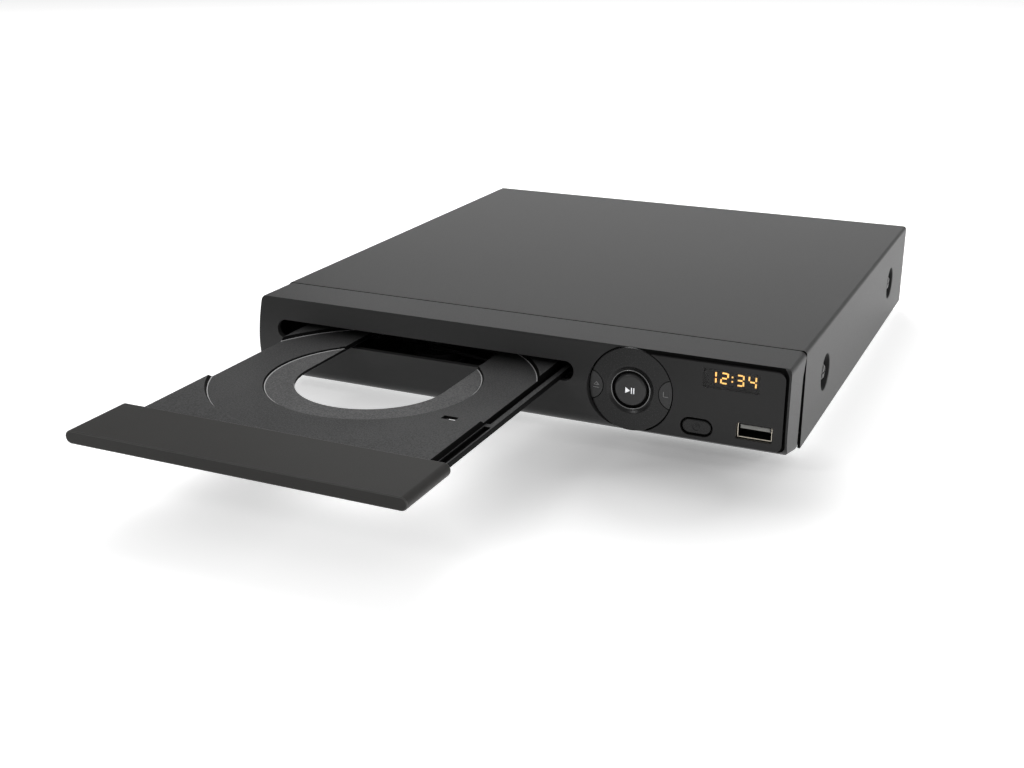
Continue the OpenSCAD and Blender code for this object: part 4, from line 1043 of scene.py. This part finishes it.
@dataclass
class Tray:
    """The disc tray and its front lip, with the recesses for large and small discs."""

    right: float = 20.8
    rail_z: float = 24.4
    plate_z: float = 23.0
    disc: tuple[float, float, float] = (-36.0, -60.3, 25.4)
    disc_r: float = 61.2
    small_r: float = 40.5
    small_z: float = 24.6
    window_r: float = 29.5

    def at_rail(self, middle: Vector, normal: Vector) -> bool:
        """Whether a face of the tray lies in or outside the rail on its right, painted as shadow.

        Args:
            middle: Middle of the face in the case's millimetres.
            normal: Its normal.

        Returns:
            True for the walls, and for all that lies in the channel.
        """
        return middle.x > self.right - NEAR and (normal.z < 0.6 or middle.z < self.rail_z - 0.2)

    def off_centre(self, middle: Vector) -> float:
        """Distance of a point from the disc's axis."""
        return math.hypot(middle.x - self.disc[0], middle.y - self.disc[1])

    def in_dish(self, middle: Vector, normal: Vector) -> bool:
        """Whether a face is the floor of the inner recess, for small discs."""
        return normal.z > 0.9 and middle.z < self.disc[2] - 0.5 and middle.x < self.right

    def at_step(self, middle: Vector, normal: Vector) -> bool:
        """Whether a face is a wall between two levels of the tray, painted as shadow."""
        return 0.05 < normal.z < 0.85 or (abs(normal.z) <= 0.05 and middle.z > self.plate_z)

    def at_foot(self, middle: Vector, normal: Vector) -> bool:
        """Whether a face is a rounded edge, painted light as a highlight.

        Args:
            middle: Middle of the face in the case's millimetres.
            normal: Its normal.

        Returns:
            True at the foot of the walls round the disc and on the window's front brim.
        """
        if not 0.2 < normal.z < 0.985 or middle.x > self.right - 0.1:
            return False
        out = self.off_centre(middle)
        foot = (middle.z < self.disc[2] + 0.22 and abs(out - self.disc_r) < 1.0) \
            or (middle.z < self.small_z + 0.22 and abs(out - self.small_r) < 1.0)
        return foot or (normal.y > 0.2 and normal.z > 0.6 and out < self.window_r + 1.0
                        and middle.z > self.small_z - 0.3)

    def dress(self, shop: Workshop) -> None:
        """Finishes the tray.

        Args:
            shop: Where the pieces are made.
        """
        # The walls, steps and rail channel are painted as shadow, the rounded feet of the walls as
        # highlight
        shop.softened("disc_tray", Look.TRAY, 0.2, 2,
                      zones=((Look.DISH, self.in_dish), (Look.TRAY_SHADOW, self.at_step),
                             (Look.TRAY_EDGE_HIGHLIGHT, self.at_foot), (Look.TRAY_SHADOW, self.at_rail)))
        # The lip's rounded edges are painted lighter as a highlight
        shop.softened("tray_lip", Look.LIP, 0.45, 3, edge=Look.LIP_EDGE_HIGHLIGHT)


@dataclass
class Loader:
    """Frame, tray drive, deck, sled and clamp."""

    def dress(self, shop: Workshop) -> None:
        """Finishes the loader.

        Args:
            shop: Where the pieces are made.
        """
        shop.softened("loader_frame", Look.FRAME, 0.15, 1)
        shop.plain(["loader_screws", "bridge_screws", "guide_rods"], Look.STEEL)
        shop.plain(["spindle_motor", "sled_motor"], Look.BRIGHT)
        # The tray motor's bright steel can is painted dark, as the shade in the slot where it
        # shows
        shop.plain(["tray_motor"], Look.DARK_GEAR)
        shop.plain(["sled_gear", "sled_pinion"], Look.GEAR)
        shop.plain(["drive_gear", "cam_slider", "motor_pulley", "belt_gear"], Look.DARK_GEAR)
        shop.plain(["drive_belt"], Look.RUBBER)
        shop.plain(["traverse_deck", "clamp_bridge"], Look.SHEET)
        shop.plain(["turntable", "laser_sled", "disc_clamp"], Look.BLACK)
        shop.plain(["objective_lens"], Look.LENS)


@dataclass
class RearElectronics:
    """Main board, power board, cables and sockets."""

    socket_x: tuple[float, float, float] = (46.0, 60.0, 74.0)
    socket_z: tuple[float, float] = (13.0, 24.2)
    barrel_r: float = 4.2
    flange_y: float = 214.87
    collar_w: float = 0.9
    collar_h: float = 1.3
    collar_edge: float = 0.3
    rows: tuple[tuple[Look, ...], ...] = ((Look.YELLOW, Look.IVORY, Look.RED),
                                          (Look.GREEN, Look.BLUE, Look.RED))

    def collars(self, shop: Workshop) -> None:
        """The coloured plastic collars at the foot of the socket barrels.

        Args:
            shop: Where the pieces are made.
        """
        r, out, h, edge = self.barrel_r, self.collar_w, self.collar_h, self.collar_edge
        profile = [(r, 0.0), (r + out, 0.0), (r + out, h - edge), (r + out - edge, h), (r, h)]
        for z, looks in zip(self.socket_z, self.rows):
            for x, look in zip(self.socket_x, looks):
                bm = bmesh.new()
                ring(bm, profile, at(x, self.flange_y, z), Vector((0.0, 1.0, 0.0)))
                shop.piece(f"socket_collar_{x:.0f}_{z:.0f}", bm, look, "case")

    def dress(self, shop: Workshop) -> None:
        """Finishes the boards and the sockets.

        Args:
            shop: Where the pieces are made.
        """
        shop.plain(["main_board"], Look.BOARD)
        shop.plain(["power_board"], Look.PAPER)
        shop.plain(["board_chips", "board_capacitors", "hdmi_tongue"], Look.BLACK)
        shop.plain(["heat_sink"], Look.FINS)
        shop.plain(["board_screws"], Look.STEEL)
        shop.plain(["transformer"], Look.TAPE)
        shop.plain(["front_ribbon", "loader_ribbon"], Look.CABLE)
        shop.plain(["power_leads"], Look.LEAD)
        shop.softened("av_block", Look.BLACK, 0.2, 2)
        shop.softened("av_barrels", Look.GOLD, 0.15, 2)
        self.collars(shop)
        shop.softened("hdmi_shell", Look.BRIGHT, 0.08, 1)
        shop.softened("mains_inlet", Look.BLACK, 0.25, 2)
        shop.plain(["inlet_pins"], Look.BRIGHT)


# ---------------------------------------------------------------- studio


@dataclass
class Softbox:
    """One area lamp."""

    name: str
    place: tuple[float, float, float]
    aim: tuple[float, float, float]
    size: tuple[float, float]
    power: float
    mirrored: bool = True

    def build(self) -> None:
        """Places the lamp."""
        data = bpy.data.lights.new(self.name, "AREA")
        data.shape = "RECTANGLE"
        data.size, data.size_y = self.size
        data.energy = self.power
        lamp = placed(self.name, data)
        lamp.visible_camera = False
        lamp.visible_glossy = self.mirrored
        lamp.location = self.place
        lamp.rotation_euler = (Vector(self.aim) - Vector(self.place)).to_track_quat(
            "-Z", "Y").to_euler()


@dataclass
class Studio:
    """White sweep, lamps, world and camera.

    The camera's distance and shift are in millimetres of the case's drawing. The surround
    fades to a share of its level towards the left and the top, between two heights on the unit
    sphere. Under the player the floor is lifted less, round shade_spot.
    """

    azimuth: float = 24.65
    elevation: float = 20.07
    distance: float = 553.64
    shift: tuple[float, float] = (-6.09, 8.2)
    focal_px: float = 1354.2
    world_light: float = 0.38
    world_mirrored: float = 0.55
    world_seen: float = 1.0
    left_fade: tuple[float, float] = (-0.8, -0.35)
    left_share: float = 0.6
    top_fade: tuple[float, float] = (0.24, 0.42)
    top_share: float = 0.72
    floor_lift: float = 0.54
    floor_mirrored: float = 0.70
    # Painted shade: the floor is lifted less round shade_spot, darker in front of the player
    shade_lift: float = 0.10
    shade_spot: tuple[float, float, float] = (0.075, -0.0852, 0.0)
    shade_size: float = 0.06
    shade_reach: tuple[float, float] = (0.4, 1.3)
    lamps: list[Softbox] = field(default_factory=lambda: [
        Softbox("key_softbox", (-0.75, 1.0, 1.15), (0.0, 0.0, 0.0), (1.3, 1.0), 17.0, False),
        Softbox("back_softbox", (-0.42, 1.5, 0.35), (0.0, 0.1, 0.0), (1.3, 0.25), 1.7),
        Softbox("front_softbox", (-0.52, -0.92, 0.74), (0.0, 0.0, 0.02), (0.28, 0.2), 1.5),
        Softbox("side_softbox", (1.2, 0.15, 0.40), (0.0, 0.1, 0.03), (0.6, 0.4), 5.0),
    ])

    def build(self) -> None:
        """Builds floor, world, lamps and camera."""
        self.world()
        self.floor()
        for lamp in self.lamps:
            lamp.build()
        self.camera()

    def world(self) -> None:
        """A white surround: full white to the camera, softer as light and in reflections."""
        world = bpy.data.worlds.new("white_studio")
        bpy.context.scene.world = world
        n = Nodes(world)
        sky = n.node("ShaderNodeSeparateXYZ", {
            0: n.node("ShaderNodeTexCoord").outputs["Generated"]})
        low, high = self.left_fade
        left = n.spread(sky.outputs["X"], self.world_mirrored * self.left_share,
                        self.world_mirrored, low, high)
        low, high = self.top_fade
        fade = n.calc("MULTIPLY", left, n.spread(sky.outputs["Z"], 1.0, self.top_share, low, high))
        shown, gloss, view = (n.node("ShaderNodeBackground", {
            "Color": WHITE, "Strength": strength}).outputs[0]
            for strength in (self.world_light, fade, self.world_seen))
        for factor, level in ((n.mirrored(), gloss), (n.seen(), view)):
            shown = n.node("ShaderNodeMixShader", {0: factor, 1: shown, 2: level}).outputs[0]
        n.node("ShaderNodeOutputWorld", {"Surface": shown})

    def floor(self) -> None:
        """A broad white floor that takes the player's shadow, with a painted shade round
        shade_spot.
        """
        bm = bmesh.new()
        bmesh.ops.create_grid(bm, x_segments=1, y_segments=1, size=4.0)
        floor = shaped("floor", bm)
        s = Shader("floor_white")
        spot = s.node("ShaderNodeMapping", {
            "Vector": s.coord, "Location": self.shade_spot,
            "Scale": (self.shade_size, self.shade_size, 1.0)}, vector_type="TEXTURE")
        away = s.node("ShaderNodeVectorMath", {0: spot.outputs["Vector"]}, operation="LENGTH")
        low, high = self.shade_reach
        # Painted shade: the lift falls round shade_spot
        level = s.spread(away.outputs["Value"], self.shade_lift, self.floor_lift, low, high)
        lift = s.calc("MULTIPLY", s.seen(), level)
        s.set(Base_Color=s.blend(s.spread(s.noise(3.0), 0.0, 1.0), (0.93, 0.93, 0.93),
                                 (0.95, 0.95, 0.95)),
              Roughness=s.spread(s.noise(40.0), 0.85, 0.95), Specular_IOR_Level=0.0,
              Emission_Color=WHITE,
              Emission_Strength=s.calc("MULTIPLY_ADD", s.mirrored(), self.floor_mirrored, lift))
        floor.data.materials.append(s.material)

    def camera(self) -> None:
        """The camera, from its azimuth, elevation, distance and sideways shift."""
        a, e = math.radians(self.azimuth), math.radians(self.elevation)
        back = Vector((math.sin(a) * math.cos(e), -math.cos(a) * math.cos(e), math.sin(e)))
        right = Vector((math.cos(a), math.sin(a), 0.0))
        up = back.cross(right)
        spot = back * self.distance + right * self.shift[0] + up * self.shift[1]
        data = bpy.data.cameras.new("view")
        data.sensor_width = 36.0
        data.lens = self.focal_px * 36.0 / 1024.0
        data.clip_start = 0.01
        camera = placed("view", data)
        camera.matrix_world = Matrix.Translation(at(spot.x, spot.y, spot.z)) @ Matrix(
            (right, up, back)).transposed().to_4x4()
        bpy.context.scene.camera = camera
        bpy.context.scene.view_settings.view_transform = "Standard"


def main() -> None:
    """Builds the whole player and its studio."""
    logging.basicConfig(level=logging.INFO, format="%(name)s %(message)s")
    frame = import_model()
    shop = Workshop(frame)
    for part in (MetalCase(), FrontMoulding(), FrontElectronics(), Tray(), Loader(),
                 RearElectronics()):
        part.dress(shop)
        LOG.info("finished %s", type(part).__name__)
    Studio().build()
    LOG.info("%d pieces made", shop.count)


if __name__ == "__main__":
    main()
